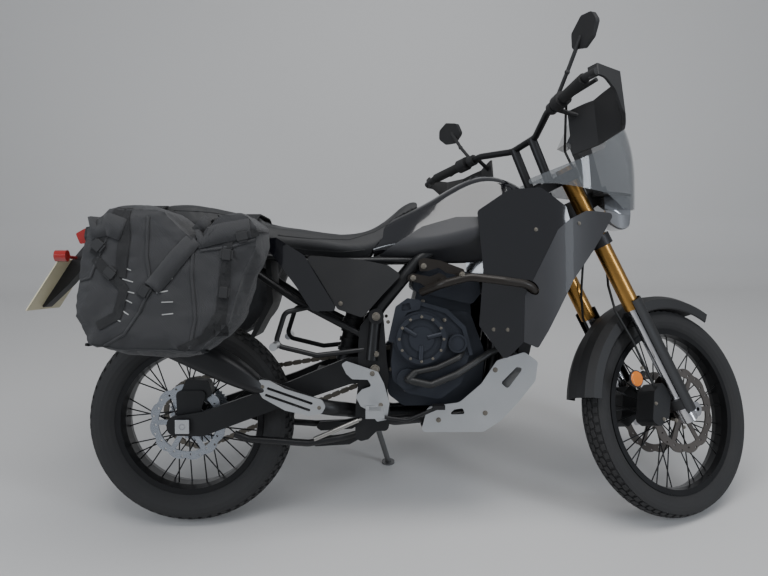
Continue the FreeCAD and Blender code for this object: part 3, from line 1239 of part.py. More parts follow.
def all_parts():
    """Every node by name, in two groups: what turns with the steering, and the rest."""
    turning = {}
    turning.update(fork())
    turning.update(handlebar())
    turning["handguards"] = without(handguards(), turning["handlebar"], turning["grips"], turning["controls"])
    turning["mirrors"] = mirrors(turning["handlebar"], turning["controls"], turning["handguards"])
    turning["front_mudguard"] = mudguard()
    turning["fork_guards"] = without(fork_guards(), turning["fork_sliders"])
    turning["front_calipers"] = group(without(piece, turning["fork_sliders"], turning["fork_guards"])
                                      for piece in front_calipers())
    turning["brake_hoses"] = brake_hoses(turning["controls"], turning["front_calipers"])
    turning.update(front_wheel())

    fixed = {}
    fixed["frame"] = frame()
    fixed["swingarm"] = swingarm(fixed["frame"])
    fixed["chain"] = chain()
    fixed["rear_axle"] = rear_axle()
    fixed.update(rear_wheel())
    fixed["engine"] = engine(fixed["frame"])
    fixed["fuel_tank"] = fuel_tank(fixed["frame"])
    fixed["rear_shock"] = rear_shock(fixed["swingarm"], fixed["frame"])
    fixed["rear_caliper"] = rear_caliper()
    fixed["radiator"] = without(radiator(), fixed["frame"])
    fixed["coolant_hoses"] = coolant_hoses(fixed["engine"], fixed["frame"], fixed["radiator"])
    fixed["exhaust"] = exhaust(fixed["engine"])
    fixed["exhaust_shield"] = without(exhaust_shield(), fixed["exhaust"])
    bar_seat = [pipe(crash_bar_route(side), CRASH_BAR_R + SEAT_GAP, 60) for side in (-1, 1)]
    fixed["skid_plate"] = without(skid_plate(), *bar_seat)
    fixed["crash_bars"] = without(group(crash_bars()), fixed["frame"], fixed["engine"])
    fixed["knee_panels"] = knee_panels(fixed["fuel_tank"], fixed["frame"])
    fixed["rider_seat"] = rider_seat(fixed["fuel_tank"], fixed["frame"], fixed["knee_panels"])
    fixed["pillion_seat"] = pillion_seat(fixed["rider_seat"], fixed["frame"])
    gloss, matte = side_panels(fixed["fuel_tank"], fixed["knee_panels"], fixed["frame"])
    fixed["side_panels"] = gloss
    fixed["side_covers"] = matte
    bar_room = [pipe(crash_bar_route(side), CRASH_BAR_R + 4, 60) for side in (-1, 1)]
    gloss, matte = front_panels(fixed["fuel_tank"], fixed["knee_panels"], *bar_room)
    fixed["shrouds"] = gloss
    fixed["side_fairings"] = matte
    fixed["display"] = display()
    fixed["nacelle"] = nacelle(fixed["frame"], fixed["display"])
    fixed["windscreen"] = windscreen()
    fixed["headlight"] = without(headlight(), fixed["windscreen"], fixed["nacelle"])
    body, under = tail_unit(fixed["pillion_seat"], fixed["frame"])
    fixed["tail_unit"] = group([body, under])
    fixed["number_plate"] = number_plate()
    fixed["rear_lamps"] = without(group(rear_lamps()), fixed["tail_unit"], fixed["number_plate"])
    fixed["pannier_right"] = pannier(-1)
    fixed["pannier_left"] = pannier(1)
    fixed["pannier_straps"] = without(group(pannier_straps()), fixed["pillion_seat"], fixed["tail_unit"])
    stand_room = cylinder(SIDE_SEAT, SIDE_SEAT + SIDE_FOLD_AXIS * 60, SIDE_EYE_R + CLEAR)
    fixed["heel_plates"] = without(group(heel_plates()), stand_room)
    fixed["footpegs"] = without(group(footpegs()), fixed["heel_plates"], fixed["frame"])
    fixed["foot_levers"] = without(group(foot_levers()), fixed["heel_plates"])
    fixed["fuel_cap"] = fuel_cap()
    fixed["side_stand"] = side_stand()
    fixed["centre_stand"] = centre_stand()
    fixed["stand_spring"] = without(stand_spring(), fixed["frame"])
    return turning, fixed


def posed(shape, placement):
    result = shape.copy()
    result.Placement = placement.multiply(result.Placement)
    return result


STEER_REST = FreeCAD.Placement(V(), FreeCAD.Rotation(STEER_AXIS, STEER_AT_REST), STEER_POINT)


def main():
    turning, fixed = all_parts()
    nodes = {}
    for name, shape in turning.items():
        nodes[name] = posed(posed(shape, STEER_REST), REST)
    for name, shape in fixed.items():
        nodes[name] = posed(shape, REST)
    whole = Part.makeCompound(list(nodes.values()))
    box = whole.optimalBoundingBox(False, False)
    origin = V((box.XMin + box.XMax) / 2, (box.YMin + box.YMax) / 2, 0)
    os.makedirs("parts", exist_ok=True)
    for name, shape in nodes.items():
        shape.translate(origin * -1)
        if len(shape.Solids) == 1:
            shape = shape.Solids[0]
        shape.exportStep("parts/" + name + ".step")
        print(name, len(shape.Solids), shape.isValid(), round(shape.Volume / 1000))
    print("box", [round(v, 1) for v in (box.XMin, box.YMin, box.ZMin, box.XMax, box.YMax, box.ZMax)])
    print("origin", origin, "rest", REST)
    return origin


ORIGIN = main()
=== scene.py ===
"""Looks for the adventure motorcycle: finishes on its parts, and the fine pieces that they carry."""
import json
import math

import bmesh
import bpy
from mathutils import Matrix, Vector
from mathutils.bvhtree import BVHTree
from mathutils.noise import noise as ripple


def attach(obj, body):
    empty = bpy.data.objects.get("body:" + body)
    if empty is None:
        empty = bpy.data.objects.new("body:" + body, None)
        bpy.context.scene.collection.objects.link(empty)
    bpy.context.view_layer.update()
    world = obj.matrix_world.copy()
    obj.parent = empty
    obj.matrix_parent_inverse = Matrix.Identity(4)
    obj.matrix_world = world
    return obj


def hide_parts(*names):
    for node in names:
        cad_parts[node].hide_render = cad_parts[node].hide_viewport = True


bl_info = {
    "name": "Adventure motorcycle",
    "version": (1, 0, 0),
    "blender": (4, 5, 0),
    "location": "View3D > Sidebar > Motorcycle",
    "description": "Dresses the packed adventure motorcycle with finishes and fine pieces",
    "category": "Object",
}

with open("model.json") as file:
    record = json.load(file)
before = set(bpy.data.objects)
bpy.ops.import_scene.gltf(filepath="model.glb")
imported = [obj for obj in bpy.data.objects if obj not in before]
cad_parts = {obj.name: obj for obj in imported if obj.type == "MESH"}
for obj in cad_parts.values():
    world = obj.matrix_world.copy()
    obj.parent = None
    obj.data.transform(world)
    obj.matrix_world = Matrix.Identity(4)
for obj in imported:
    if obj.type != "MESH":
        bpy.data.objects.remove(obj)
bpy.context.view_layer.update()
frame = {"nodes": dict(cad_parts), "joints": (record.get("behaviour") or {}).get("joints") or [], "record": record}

# Driving sizes in millimetres on the upright machine: X ahead of the rear axle, Y to its left, Z up
RAKE = math.radians(27.0)
WHEELBASE = 1595.0
REAR_R = 333.5
FRONT_R = 347.5
REAR_AXLE = Vector((0, 0, REAR_R))
FRONT_AXLE = Vector((WHEELBASE, 0, FRONT_R))


def hinge(name):
    """The place and direction of one joint at rest."""
    found = next(joint for joint in frame["joints"] if joint["name"] == name)
    return Vector(found["pos_m"]), Vector(found["axis"]).normalized()


def machine_frame(wheel_joint, axle):
    """The move from millimetres upright to the parked machine, from an axle and the steering axis."""
    place, across = hinge(wheel_joint)
    steer = hinge("steering_turn")[1]
    fore = across.cross(steer)
    ahead = fore * math.cos(RAKE) - steer * math.sin(RAKE)
    up = fore * math.sin(RAKE) + steer * math.cos(RAKE)
    turn = Matrix((ahead, across, up)).transposed()
    return Matrix.Translation(place - turn @ (axle / 1000)) @ turn.to_4x4() @ Matrix.Scale(0.001, 4)


UPRIGHT = machine_frame("rear_wheel_spin", REAR_AXLE)
STEERED = machine_frame("front_wheel_spin", FRONT_AXLE)


# Shader groups

def new_group(name, inputs, outputs):
    """An empty shader group with its sockets, and its input and output nodes."""
    tree = bpy.data.node_groups.new(name, "ShaderNodeTree")
    for label, kind, value in inputs:
        socket = tree.interface.new_socket(label, in_out="INPUT", socket_type=kind)
        socket.default_value = value
    for label, kind in outputs:
        tree.interface.new_socket(label, in_out="OUTPUT", socket_type=kind)
    return tree, tree.nodes.new("NodeGroupInput"), tree.nodes.new("NodeGroupOutput")


def maths(tree, operation, first, second=None):
    """One arithmetic node; numbers are set on it and sockets are linked."""
    node = tree.nodes.new("ShaderNodeMath")
    node.operation = operation
    for socket, value in zip(node.inputs, (first, second)):
        if isinstance(value, (int, float)):
            socket.default_value = value
        elif value is not None:
            tree.links.new(value, socket)
    return node.outputs[0]


def noise(tree, scale, detail=3.0, rough=0.55, stretch=None):
    """Noise on Object coordinates, with its scale a number or a socket."""
    place = tree.nodes.new("ShaderNodeTexCoord").outputs["Object"]
    if stretch:
        mapping = tree.nodes.new("ShaderNodeMapping")
        mapping.inputs["Scale"].default_value = stretch
        tree.links.new(place, mapping.inputs["Vector"])
        place = mapping.outputs[0]
    node = tree.nodes.new("ShaderNodeTexNoise")
    node.inputs["Detail"].default_value = detail
    node.inputs["Roughness"].default_value = rough
    tree.links.new(place, node.inputs["Vector"])
    if isinstance(scale, (int, float)):
        node.inputs["Scale"].default_value = scale
    else:
        tree.links.new(scale, node.inputs["Scale"])
    return node.outputs[0]


def build_wear():
    """Broad patches, fine grain and light dust, as a colour, a roughness and a height."""
    tree, gets, puts = new_group(
        "Worn surface",
        (("Colour", "NodeSocketColor", (0.5, 0.5, 0.5, 1)), ("Roughness", "NodeSocketFloat", 0.5),
         ("Patch size", "NodeSocketFloat", 12.0), ("Patch depth", "NodeSocketFloat", 0.25),
         ("Grain size", "NodeSocketFloat", 900.0), ("Dust", "NodeSocketFloat", 0.0),
         ("Dust colour", "NodeSocketColor", (0.3, 0.27, 0.23, 1))),
        (("Colour", "NodeSocketColor"), ("Roughness", "NodeSocketFloat"), ("Height", "NodeSocketFloat")))
    patches = noise(tree, gets.outputs["Patch size"], 4.0)
    grain = noise(tree, gets.outputs["Grain size"], 2.0, 0.6)
    centred = maths(tree, "SUBTRACT", patches, 0.5)
    shade = maths(tree, "ADD", maths(tree, "MULTIPLY", centred, gets.outputs["Patch depth"]), 1.0)
    toned = tree.nodes.new("ShaderNodeVectorMath")
    toned.operation = "SCALE"
    tree.links.new(gets.outputs["Colour"], toned.inputs[0])
    tree.links.new(shade, toned.inputs["Scale"])
    settled = tree.nodes.new("ShaderNodeMix")
    settled.data_type = "RGBA"
    settling = maths(tree, "MULTIPLY", maths(tree, "POWER", patches, 2.0), gets.outputs["Dust"])
    tree.links.new(settling, settled.inputs[0])
    tree.links.new(toned.outputs[0], settled.inputs[6])
    tree.links.new(gets.outputs["Dust colour"], settled.inputs[7])
    tree.links.new(settled.outputs[2], puts.inputs["Colour"])
    uneven = maths(tree, "MULTIPLY", maths(tree, "MULTIPLY", centred, gets.outputs["Patch depth"]), 0.6)
    rougher = maths(tree, "ADD", gets.outputs["Roughness"], maths(tree, "ADD", uneven, settling))
    tree.links.new(rougher, puts.inputs["Roughness"])
    tree.links.new(grain, puts.inputs["Height"])
    return tree


def build_weave():
    """Crossed threads on the piece's own coordinates, as a height and a painted light and shade that follows it:
    lighter on the raised threads, darker in the dips.
    """
    tree, gets, puts = new_group(
        "Weave", (("Threads", "NodeSocketFloat", 1400.0),),
        (("Height", "NodeSocketFloat"), ("Painted light and shade", "NodeSocketFloat")))
    place = tree.nodes.new("ShaderNodeTexCoord").outputs["Object"]
    split = tree.nodes.new("ShaderNodeSeparateXYZ")
    tree.links.new(place, split.inputs[0])
    across = maths(tree, "ADD", split.outputs[0], split.outputs[1])
    along = maths(tree, "SUBTRACT", split.outputs[2], maths(tree, "MULTIPLY", split.outputs[1], 0.5))
    waves = [maths(tree, "SINE", maths(tree, "MULTIPLY", axis, gets.outputs["Threads"]))
             for axis in (across, along)]
    height = maths(tree, "MULTIPLY", *waves)
    tree.links.new(height, puts.inputs["Height"])
    # Painted light and shade: the colour is lightened where the threads rise and darkened in the dips between
    # them.
    tree.links.new(maths(tree, "ADD", maths(tree, "MULTIPLY", height, 0.12), 1.0), puts.inputs["Painted light and shade"])
    return tree


def build_brushed():
    """Fine lines from turning or rolling, as a height and a roughness to add."""
    tree, gets, puts = new_group(
        "Brushed lines", (("Fineness", "NodeSocketFloat", 60.0),),
        (("Height", "NodeSocketFloat"), ("Roughness", "NodeSocketFloat")))
    lines = noise(tree, gets.outputs["Fineness"], 4.0, 0.7, (1.0, 1.0, 14.0))
    tree.links.new(lines, puts.inputs["Height"])
    uneven = maths(tree, "MULTIPLY", maths(tree, "SUBTRACT", lines, 0.5), 0.25)
    tree.links.new(uneven, puts.inputs["Roughness"])
    return tree


SHARED = {}
MATERIALS = {}
BUMP_DISTANCE = 0.001
COAT_ROUGHNESS = 0.03


def placed_group(tree, which):
    """One of the shared groups, placed in a material."""
    node = tree.nodes.new("ShaderNodeGroup")
    node.node_tree = SHARED[which]
    return node


def finish(name, colour, rough, metal=0.0, bump=0.05, patch=0.25, patch_size=12.0, grain=900.0, dust=0.0,
           coat=0.0, weave=0.0, brushed=False, sheen=0.0, alpha=1.0):
    """One procedural material by the record's slot name."""
    made = bpy.data.materials.new(name)
    made.use_nodes = True
    tree = made.node_tree
    shader = tree.nodes["Principled BSDF"]
    worn = placed_group(tree, "worn")
    worn.inputs["Colour"].default_value = (*colour, 1)
    worn.inputs["Roughness"].default_value = rough
    worn.inputs["Patch size"].default_value = patch_size
    worn.inputs["Patch depth"].default_value = patch
    worn.inputs["Grain size"].default_value = grain
    worn.inputs["Dust"].default_value = dust
    tone, roughness, height = worn.outputs
    if weave:
        cloth = placed_group(tree, "weave")
        cloth.inputs["Threads"].default_value = weave
        # The weave's painted light and shade scales the colour with the threads' height.
        mixed = tree.nodes.new("ShaderNodeVectorMath")
        mixed.operation = "SCALE"
        tree.links.new(tone, mixed.inputs[0])
        tree.links.new(cloth.outputs["Painted light and shade"], mixed.inputs["Scale"])
        tone = mixed.outputs[0]
        height = maths(tree, "ADD", height, cloth.outputs["Height"])
    if brushed:
        lines = placed_group(tree, "brushed")
        roughness = maths(tree, "ADD", roughness, lines.outputs["Roughness"])
        height = maths(tree, "ADD", height, lines.outputs["Height"])
    tree.links.new(tone, shader.inputs["Base Color"])
    tree.links.new(roughness, shader.inputs["Roughness"])
    relief = tree.nodes.new("ShaderNodeBump")
    relief.inputs["Strength"].default_value = bump
    relief.inputs["Distance"].default_value = BUMP_DISTANCE
    tree.links.new(height, relief.inputs["Height"])
    tree.links.new(relief.outputs[0], shader.inputs["Normal"])
    shader.inputs["Metallic"].default_value = metal
    shader.inputs["Coat Weight"].default_value = coat
    shader.inputs["Coat Roughness"].default_value = COAT_ROUGHNESS
    shader.inputs["Sheen Weight"].default_value = sheen
    shader.inputs["Alpha"].default_value = alpha
    MATERIALS[name] = made


FINISHES = {
    "cast_alloy_dark": dict(colour=(0.03, 0.03, 0.032), rough=0.42, metal=0.6, bump=0.12, grain=1400),
    "gold_anodised": dict(colour=(0.46, 0.25, 0.07), rough=0.3, metal=1.0, bump=0.03, patch=0.2, brushed=True),
    "polished_steel": dict(colour=(0.62, 0.62, 0.64), rough=0.2, metal=1.0, bump=0.02, brushed=True),
    "black_metal": dict(colour=(0.014, 0.014, 0.015), rough=0.42, metal=0.3, bump=0.08, grain=1500),
    "black_rubber": dict(colour=(0.014, 0.014, 0.014), rough=0.78, bump=0.2, grain=1200),
    "black_plastic": dict(colour=(0.013, 0.013, 0.014), rough=0.58, bump=0.16, grain=1700, dust=0.02),
    "tyre_rubber": dict(colour=(0.018, 0.018, 0.019), rough=0.8, bump=0.25, grain=1100, dust=0.05),
    "black_rim": dict(colour=(0.012, 0.012, 0.013), rough=0.3, metal=0.5, bump=0.02),
    "disc_dark": dict(colour=(0.14, 0.125, 0.115), rough=0.36, metal=0.9, bump=0.05, brushed=True),
    "hose_rubber": dict(colour=(0.013, 0.013, 0.013), rough=0.5, bump=0.1, grain=1500),
    "amber_lens": dict(colour=(0.75, 0.2, 0.01), rough=0.15, bump=0.0, coat=1.0),
    "cut_thread": dict(colour=(0.34, 0.34, 0.33), rough=0.6, bump=0.1),
    "disc_steel": dict(colour=(0.5, 0.53, 0.58), rough=0.26, metal=1.0, bump=0.05, brushed=True),
    "black_frame": dict(colour=(0.012, 0.012, 0.013), rough=0.38, metal=0.2, bump=0.06, grain=1300),
    "chain_steel": dict(colour=(0.22, 0.2, 0.17), rough=0.42, metal=0.9, bump=0.15),
    "engine_coating": dict(colour=(0.032, 0.036, 0.046), rough=0.45, metal=0.55, bump=0.2, grain=1500),
    "gloss_black": dict(colour=(0.004, 0.004, 0.006), rough=0.12, bump=0.0, patch=0.05, coat=1.0),
    "satin_alloy": dict(colour=(0.62, 0.63, 0.64), rough=0.34, metal=0.9, bump=0.06, patch=0.12, brushed=True),
    "crash_bar_coating": dict(colour=(0.022, 0.018, 0.015), rough=0.35, metal=0.3, bump=0.05, grain=1500),
    "matte_grey": dict(colour=(0.03, 0.03, 0.033), rough=0.5, bump=0.1, grain=1900, coat=0.1),
    "seat_vinyl": dict(colour=(0.02, 0.02, 0.021), rough=0.62, bump=0.35, grain=800, sheen=0.1),
    "screen_glass": dict(colour=(0.008, 0.009, 0.011), rough=0.08, bump=0.0, coat=1.0),
    "smoked_screen": dict(colour=(0.16, 0.17, 0.18), rough=0.06, bump=0.0, patch=0.05, alpha=0.45, coat=1.0),
    "lamp_glass": dict(colour=(0.25, 0.26, 0.28), rough=0.08, metal=0.6, bump=0.0, coat=1.0),
    "plate_cream": dict(colour=(0.72, 0.66, 0.45), rough=0.45, bump=0.05, patch=0.08),
    "lamp_red": dict(colour=(0.32, 0.01, 0.008), rough=0.15, bump=0.0, coat=1.0),
    "bag_fabric": dict(colour=(0.026, 0.026, 0.028), rough=0.72, bump=0.5, patch=0.35, patch_size=18.0,
                       weave=1500.0, sheen=0.15),
    "webbing": dict(colour=(0.014, 0.014, 0.015), rough=0.75, bump=0.6, weave=2400.0),
    "stand_coating": dict(colour=(0.16, 0.16, 0.16), rough=0.45, metal=0.5, bump=0.08),
    "spring_steel": dict(colour=(0.4, 0.39, 0.37), rough=0.35, metal=1.0, bump=0.05),
}


class ADV_OT_finishes(bpy.types.Operator):
    """Make every finish and put it on the machine's parts"""
    bl_idname = "adv.finishes"
    bl_label = "Finishes"

    def execute(self, context):
        SHARED.update(worn=build_wear(), weave=build_weave(), brushed=build_brushed())
        for name, values in FINISHES.items():
            finish(name, **values)
        for part in frame["record"]["subparts"]:
            dressed = frame["nodes"][part["node"]]
            dressed.data.materials.clear()
            dressed.data.materials.append(MATERIALS[part["material_slot"]])
        return {"FINISHED"}


# Helpers that make and seat fine pieces, in millimetres

BEVEL = dict(profile=0.5, affect="EDGES", material=-1)
SIDES = {"right": -1, "left": 1}
OUTSIDE = 900.0
BAND_STEP = 9.0
WASHER_SUNK = 1.5
WASHER_SHARE = 0.35
HEXAGON_SHARE = 0.72
BOLT_BEVEL = 0.1


def finished(name, shape, slot, body, place=UPRIGHT, smooth=False):
    """A mesh made in millimetres on the upright machine, put in place on the body that it rides."""
    bmesh.ops.recalc_face_normals(shape, faces=shape.faces)
    shape.transform(place)
    mesh = bpy.data.meshes.new(name)
    shape.to_mesh(mesh)
    shape.free()
    mesh.materials.append(MATERIALS[slot])
    for face in mesh.polygons:
        face.use_smooth = smooth
    made = bpy.data.objects.new(name, mesh)
    bpy.context.collection.objects.link(made)
    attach(made, body)
    return made


def surface(meshes, place=UPRIGHT):
    """The outside of some meshes in millimetres on the upright machine, to seat pieces on."""
    shape = bmesh.new()
    for mesh in meshes:
        shape.from_mesh(mesh)
    shape.transform(place.inverted())
    tree = BVHTree.FromBMesh(shape)
    shape.free()
    return tree


def node_meshes(*nodes):
    """The meshes of some of the machine's parts."""
    return [frame["nodes"][node].data for node in nodes]


def side_point(tree, x, z, side, otherwise=150.0):
    """Where a line along Y from outside meets the surface."""
    hit = tree.ray_cast(Vector((x, side * OUTSIDE, z)), Vector((0, -side, 0)))[0]
    return hit.y if hit else side * otherwise


def add_round(shape, start, end, radius, sides=20, top=None, bevel=0.0):
    """A round or many-sided bar from one point to another, with its ends' edges bevelled."""
    start, end = Vector(start), Vector(end)
    turn = (end - start).to_track_quat("Z", "Y").to_matrix().to_4x4()
    made = bmesh.ops.create_cone(shape, cap_ends=True, segments=sides, radius1=radius,
                                 radius2=radius if top is None else top, depth=(end - start).length,
                                 matrix=Matrix.Translation((start + end) / 2) @ turn)["verts"]
    if bevel:
        edges = {edge for vert in made for edge in vert.link_edges
                 if any(len(face.verts) > 4 for face in edge.link_faces)}
        bmesh.ops.bevel(shape, geom=list(edges), offset=bevel, segments=2, **BEVEL)


def add_block(shape, place, size, bevel, segments=2):
    """A block of a size along its own X, Y and Z, with every edge bevelled, at a place given as a matrix."""
    made = bmesh.ops.create_cube(shape, size=1)["verts"]
    bmesh.ops.transform(shape, matrix=place @ Matrix.Diagonal((*size, 1)), verts=made)
    edges = {edge for vert in made for edge in vert.link_edges}
    bmesh.ops.bevel(shape, geom=list(edges), offset=bevel, segments=segments, **BEVEL)


def add_bolt(shape, x, y, z, side, radius, tall):
    """A flanged bolt head with a hexagon top, on a face that looks along Y."""
    bevel = radius * BOLT_BEVEL
    foot, top = (x, y - side * WASHER_SUNK, z), (x, y + side * tall * WASHER_SHARE, z)
    add_round(shape, foot, top, radius, bevel=bevel)
    add_round(shape, (x, y, z), (x, y + side * tall, z), radius * HEXAGON_SHARE, 6, bevel=bevel)


def resampled(route, step):
    """Evenly spaced points on a line of points."""
    points = [Vector(point) for point in route]
    result = [points[0]]
    for a, b in zip(points, points[1:]):
        count = max(1, round((b - a).length / step))
        result += [a.lerp(b, k / count) for k in range(1, count + 1)]
    return result


def add_band(shape, tree, route, width, thick, side, lift, otherwise):
    """A flat band that lies on a surface along a line of X and Z points."""
    line = resampled([(x, 0, z) for x, z in route], BAND_STEP)
    last = len(line) - 1
    made = bmesh.ops.create_grid(shape, x_segments=last, y_segments=2, size=1)["verts"]
    found = otherwise
    places = {}
    for k, point in enumerate(line):
        along = (line[min(k + 1, last)] - line[max(k - 1, 0)]).normalized()
        off = Vector((-along.z, 0, along.x)) * width / 2
        for row in (-1, 0, 1):
            spot = point + off * row
            y = side_point(tree, spot.x, spot.z, side, found)
            found = abs(y)
            places[(k, row)] = Vector((spot.x, y + side * lift, spot.z))
    for vert in made:
        vert.co = places[(round((vert.co.x + 1) / 2 * last), round(vert.co.y))]
    faces = list({face for vert in made for face in vert.link_faces})
    thickened = bmesh.ops.extrude_face_region(shape, geom=faces)["geom"]
    fresh = [part for part in thickened if isinstance(part, bmesh.types.BMVert)]
    bmesh.ops.translate(shape, verts=fresh, vec=(0, side * thick, 0))


# Tyres

# Each row of blocks: its angle across the crown, a block's length and width, its shift in blocks, its skew
TYRES = {
    "front_tread": dict(node="front_tyre", body="front_wheel", centre=FRONT_AXLE, radius=FRONT_R, width=90.0,
                        bead_r=266.0, bead_w=56.0, place=STEERED, count=72,
                        rows=((-9, 24, 15, 0.0, 10), (9, 24, 15, 0.5, -10),
                              (-28, 20, 15, 0.5, 0), (28, 20, 15, 0.0, 0))),
    "rear_tread": dict(node="rear_tyre", body="rear_wheel", centre=REAR_AXLE, radius=REAR_R, width=150.0,
                       bead_r=230.0, bead_w=102.0, place=UPRIGHT, count=62,
                       rows=((-7, 26, 22, 0.0, 12), (7, 26, 22, 0.5, -12),
                             (-20, 22, 19, 0.5, 0), (20, 22, 19, 0.0, 0),
                             (-32, 20, 18, 0.0, 0), (32, 20, 18, 0.5, 0))),
}
SHOULDER = 0.86
CROWN_DROP = 0.3
BEAD_H = 9.0
SIDE_SLIM = 1.0
BELLY_RISE = 6.0
SIDE_STEPS = (0.2, 0.4, 0.6, 0.8)
CROWN_ARC = 38.5
CROWN_STEPS = 12
EDGE_DEPTH = 0.2
GROOVE_DEPTH = 6.0
BLOCK_T = 9.0
BLOCK_LOW = 0.9
BLOCK_BEVEL = 1.2
TYRE_STEPS = 96


def tyre_section(half, radius, bead_r, bead_w, hoop, hoop_r):
    """Radius and Y of the carcass from one bead over the crown to the other, the crown at the grooves' foot."""
    low, high = bead_r + BEAD_H, radius - CROWN_DROP * half
    belly = (radius + bead_r) / 2 + BELLY_RISE
    widest = half - SIDE_SLIM
    wall = [(bead_r, -bead_w / 2), (low, -bead_w / 2)]
    for share in SIDE_STEPS:
        r = (1 - share) * low + share * high
        end, edge = (low, bead_w / 2) if r < belly else (high, half * SHOULDER)
        wall.append((r, -(widest - (widest - edge) * ((r - belly) / (end - belly)) ** 2)))
    crown = []
    for k in range(CROWN_STEPS + 1):
        turn = math.radians(-CROWN_ARC + 2 * CROWN_ARC * k / CROWN_STEPS)
        r = hoop_r - (EDGE_DEPTH if k in (0, CROWN_STEPS) else GROOVE_DEPTH)
        crown.append((hoop + r * math.cos(turn), r * math.sin(turn)))
    return wall + crown + [(r, -y) for r, y in reversed(wall)]


def tread_tyre(name, node, body, centre, radius, width, bead_r, bead_w, place, count, rows):
    """A carcass under the tread, and blocks in rows across it."""
    half = width / 2
    drop = CROWN_DROP * half
    hoop_r = ((SHOULDER * half) ** 2 + drop ** 2) / (2 * drop)
    hoop = radius - hoop_r
    section = tyre_section(half, radius, bead_r, bead_w, hoop, hoop_r)
    shape = bmesh.new()
    ring = [shape.verts.new((centre.x + r, y, centre.z)) for r, y in section]
    edges = [shape.edges.new(pair) for pair in zip(ring, ring[1:] + ring[:1])]
    bmesh.ops.spin(shape, geom=ring + edges, cent=centre, axis=(0, 1, 0), angle=math.tau, steps=TYRE_STEPS,
                   use_merge=True, use_duplicate=False)
    bmesh.ops.remove_doubles(shape, verts=shape.verts, dist=0.01)
    for across, long, wide, shift, skew in rows:
        for k in range(count):
            block = (Matrix.Translation(centre) @ Matrix.Rotation(math.tau * (k + shift) / count, 4, "Y") @
                     Matrix.Translation((hoop, 0, 0)) @ Matrix.Rotation(math.radians(across), 4, "Z") @
                     Matrix.Translation((hoop_r - BLOCK_T / 2 - BLOCK_LOW, 0, 0)) @
                     Matrix.Rotation(math.radians(skew), 4, "X"))
            add_block(shape, block, (BLOCK_T, wide, long), BLOCK_BEVEL, 1)
    made = finished(name, shape, "tyre_rubber", body, place)
    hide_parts(node)


class ADV_OT_tyres(bpy.types.Operator):
    """Cut block tread into both tyres"""
    bl_idname = "adv.tyres"
    bl_label = "Tyres"

    def execute(self, context):
        for name, sizes in TYRES.items():
            tread_tyre(name, **sizes)
        return {"FINISHED"}


# Soft goods

PRESSURE = 4
CLOTH_FRAMES = 20
FOLD_START = Vector((7, 3, 5))
FOLD_MEAN = 0.28
SHRINK = 0.5


def blown_up(source):
    cloth = source.modifiers.new("stuffing", "CLOTH")
    cloth.settings.use_pressure = True
    cloth.settings.uniform_pressure_force = PRESSURE
    cloth.settings.effector_weights.gravity = 0
    for step in range(1, CLOTH_FRAMES + 1):
        bpy.context.scene.frame_set(step)
    blown = bpy.data.meshes.new_from_object(source.evaluated_get(bpy.context.evaluated_depsgraph_get()))
    source.modifiers.clear()
    bpy.context.scene.frame_set(1)
    return [vert.co.copy() for vert in blown.vertices]


def soft_form(name, node, slot, body, voxel, cap, folds):
    """A stuffed cover over a plain soft solid: remeshed, blown up as cloth, and creased. Sizes in metres."""
    source = bpy.data.objects.new(name, frame["nodes"][node].data.copy())
    bpy.context.collection.objects.link(source)
    grid = source.modifiers.new("grid", "REMESH")
    grid.mode = "VOXEL"
    grid.voxel_size = voxel
    source.data = bpy.data.meshes.new_from_object(source.evaluated_get(bpy.context.evaluated_depsgraph_get()))
    source.modifiers.clear()
    start = [vert.co.copy() for vert in source.data.vertices]
    normals = [vert.normal.copy() for vert in source.data.vertices]
    for vert, before, after, normal in zip(source.data.vertices, start, blown_up(source), normals):
        move = after - before
        if move.length > cap:
            move = move.normalized() * cap
        crease = sum(depth * (abs(ripple(before * size + FOLD_START)) - FOLD_MEAN) for size, depth in folds)
        vert.co = before + move + normal * (crease - cap * SHRINK)
    for face in source.data.polygons:
        face.use_smooth = True
    source.data.materials.clear()
    source.data.materials.append(MATERIALS[slot])
    finer = source.modifiers.new("smooth", "SUBSURF")
    finer.levels = finer.render_levels = 1
    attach(source, body)
    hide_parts(node)
    return source


# Routes on a pannier's outer face as X and Z points, and each one's width where they differ
BAG_STRAPS = (
    (((-140, 860), (-120, 905), (-80, 960), (-72, 985)), 26),
    (((-138, 852), (-60, 770), (-78, 700), (-130, 672)), 24),
    (((214, 905), (206, 820), (196, 720), (186, 640)), 26),
    (((-60, 985), (-58, 900), (-70, 800)), 30),
    (((150, 890), (230, 905), (292, 920)), 22),
    (((190, 705), (150, 640), (80, 606)), 20),
)
BAG_SEAMS = (
    ((183, 966), (120, 900), (60, 830), (10, 771), (-20, 710), (-60, 650), (-120, 618)),
    ((4, 960), (0, 860), (8, 792)),
    ((-170, 622), (-80, 606), (40, 604), (150, 600)),
    ((-190, 790), (-150, 800), (-90, 940)),
    ((122, 905), (118, 800), (126, 690), (110, 610)),
    ((140, 870), (220, 880), (284, 900)),
)
BAG_FLAPS = (
    (((166, 950), (104, 880), (48, 812), (14, 772)), 46),
    (((-150, 930), (-100, 940), (-60, 925)), 60),
    (((130, 900), (200, 918), (270, 930)), 52),
)
# The short pale slots: X, Z and slope in degrees
BAG_CUTS = (
    (-55, 824, -22), (-50, 792, -16), (-47, 762, -14), (-52, 739, -26), (-61, 710, -34), (-82, 691, -26),
    (63, 824, 14), (53, 794, 12), (40, 762, 10), (53, 735, 2), (53, 703, 6),
)
CUT_HALF = 15
# X, Z and turn in degrees; a buckle is a low frame with a taller tongue: width, length and height
BAG_BUCKLES = ((-126, 884, 50), (-96, 812, -40), (210, 860, 85), (200, 760, 84), (250, 908, 12), (-6, 764, 60))
BUCKLE_PARTS = ((34, 24, 3.0), (22, 30, 5.5))
BUCKLE_LIFT = 1.5
BAG_Y = 440
BAG_VOXEL = 0.0075
BAG_CAP = 0.012
BAG_FOLDS = ((9.0, 0.010), (26.0, 0.004))


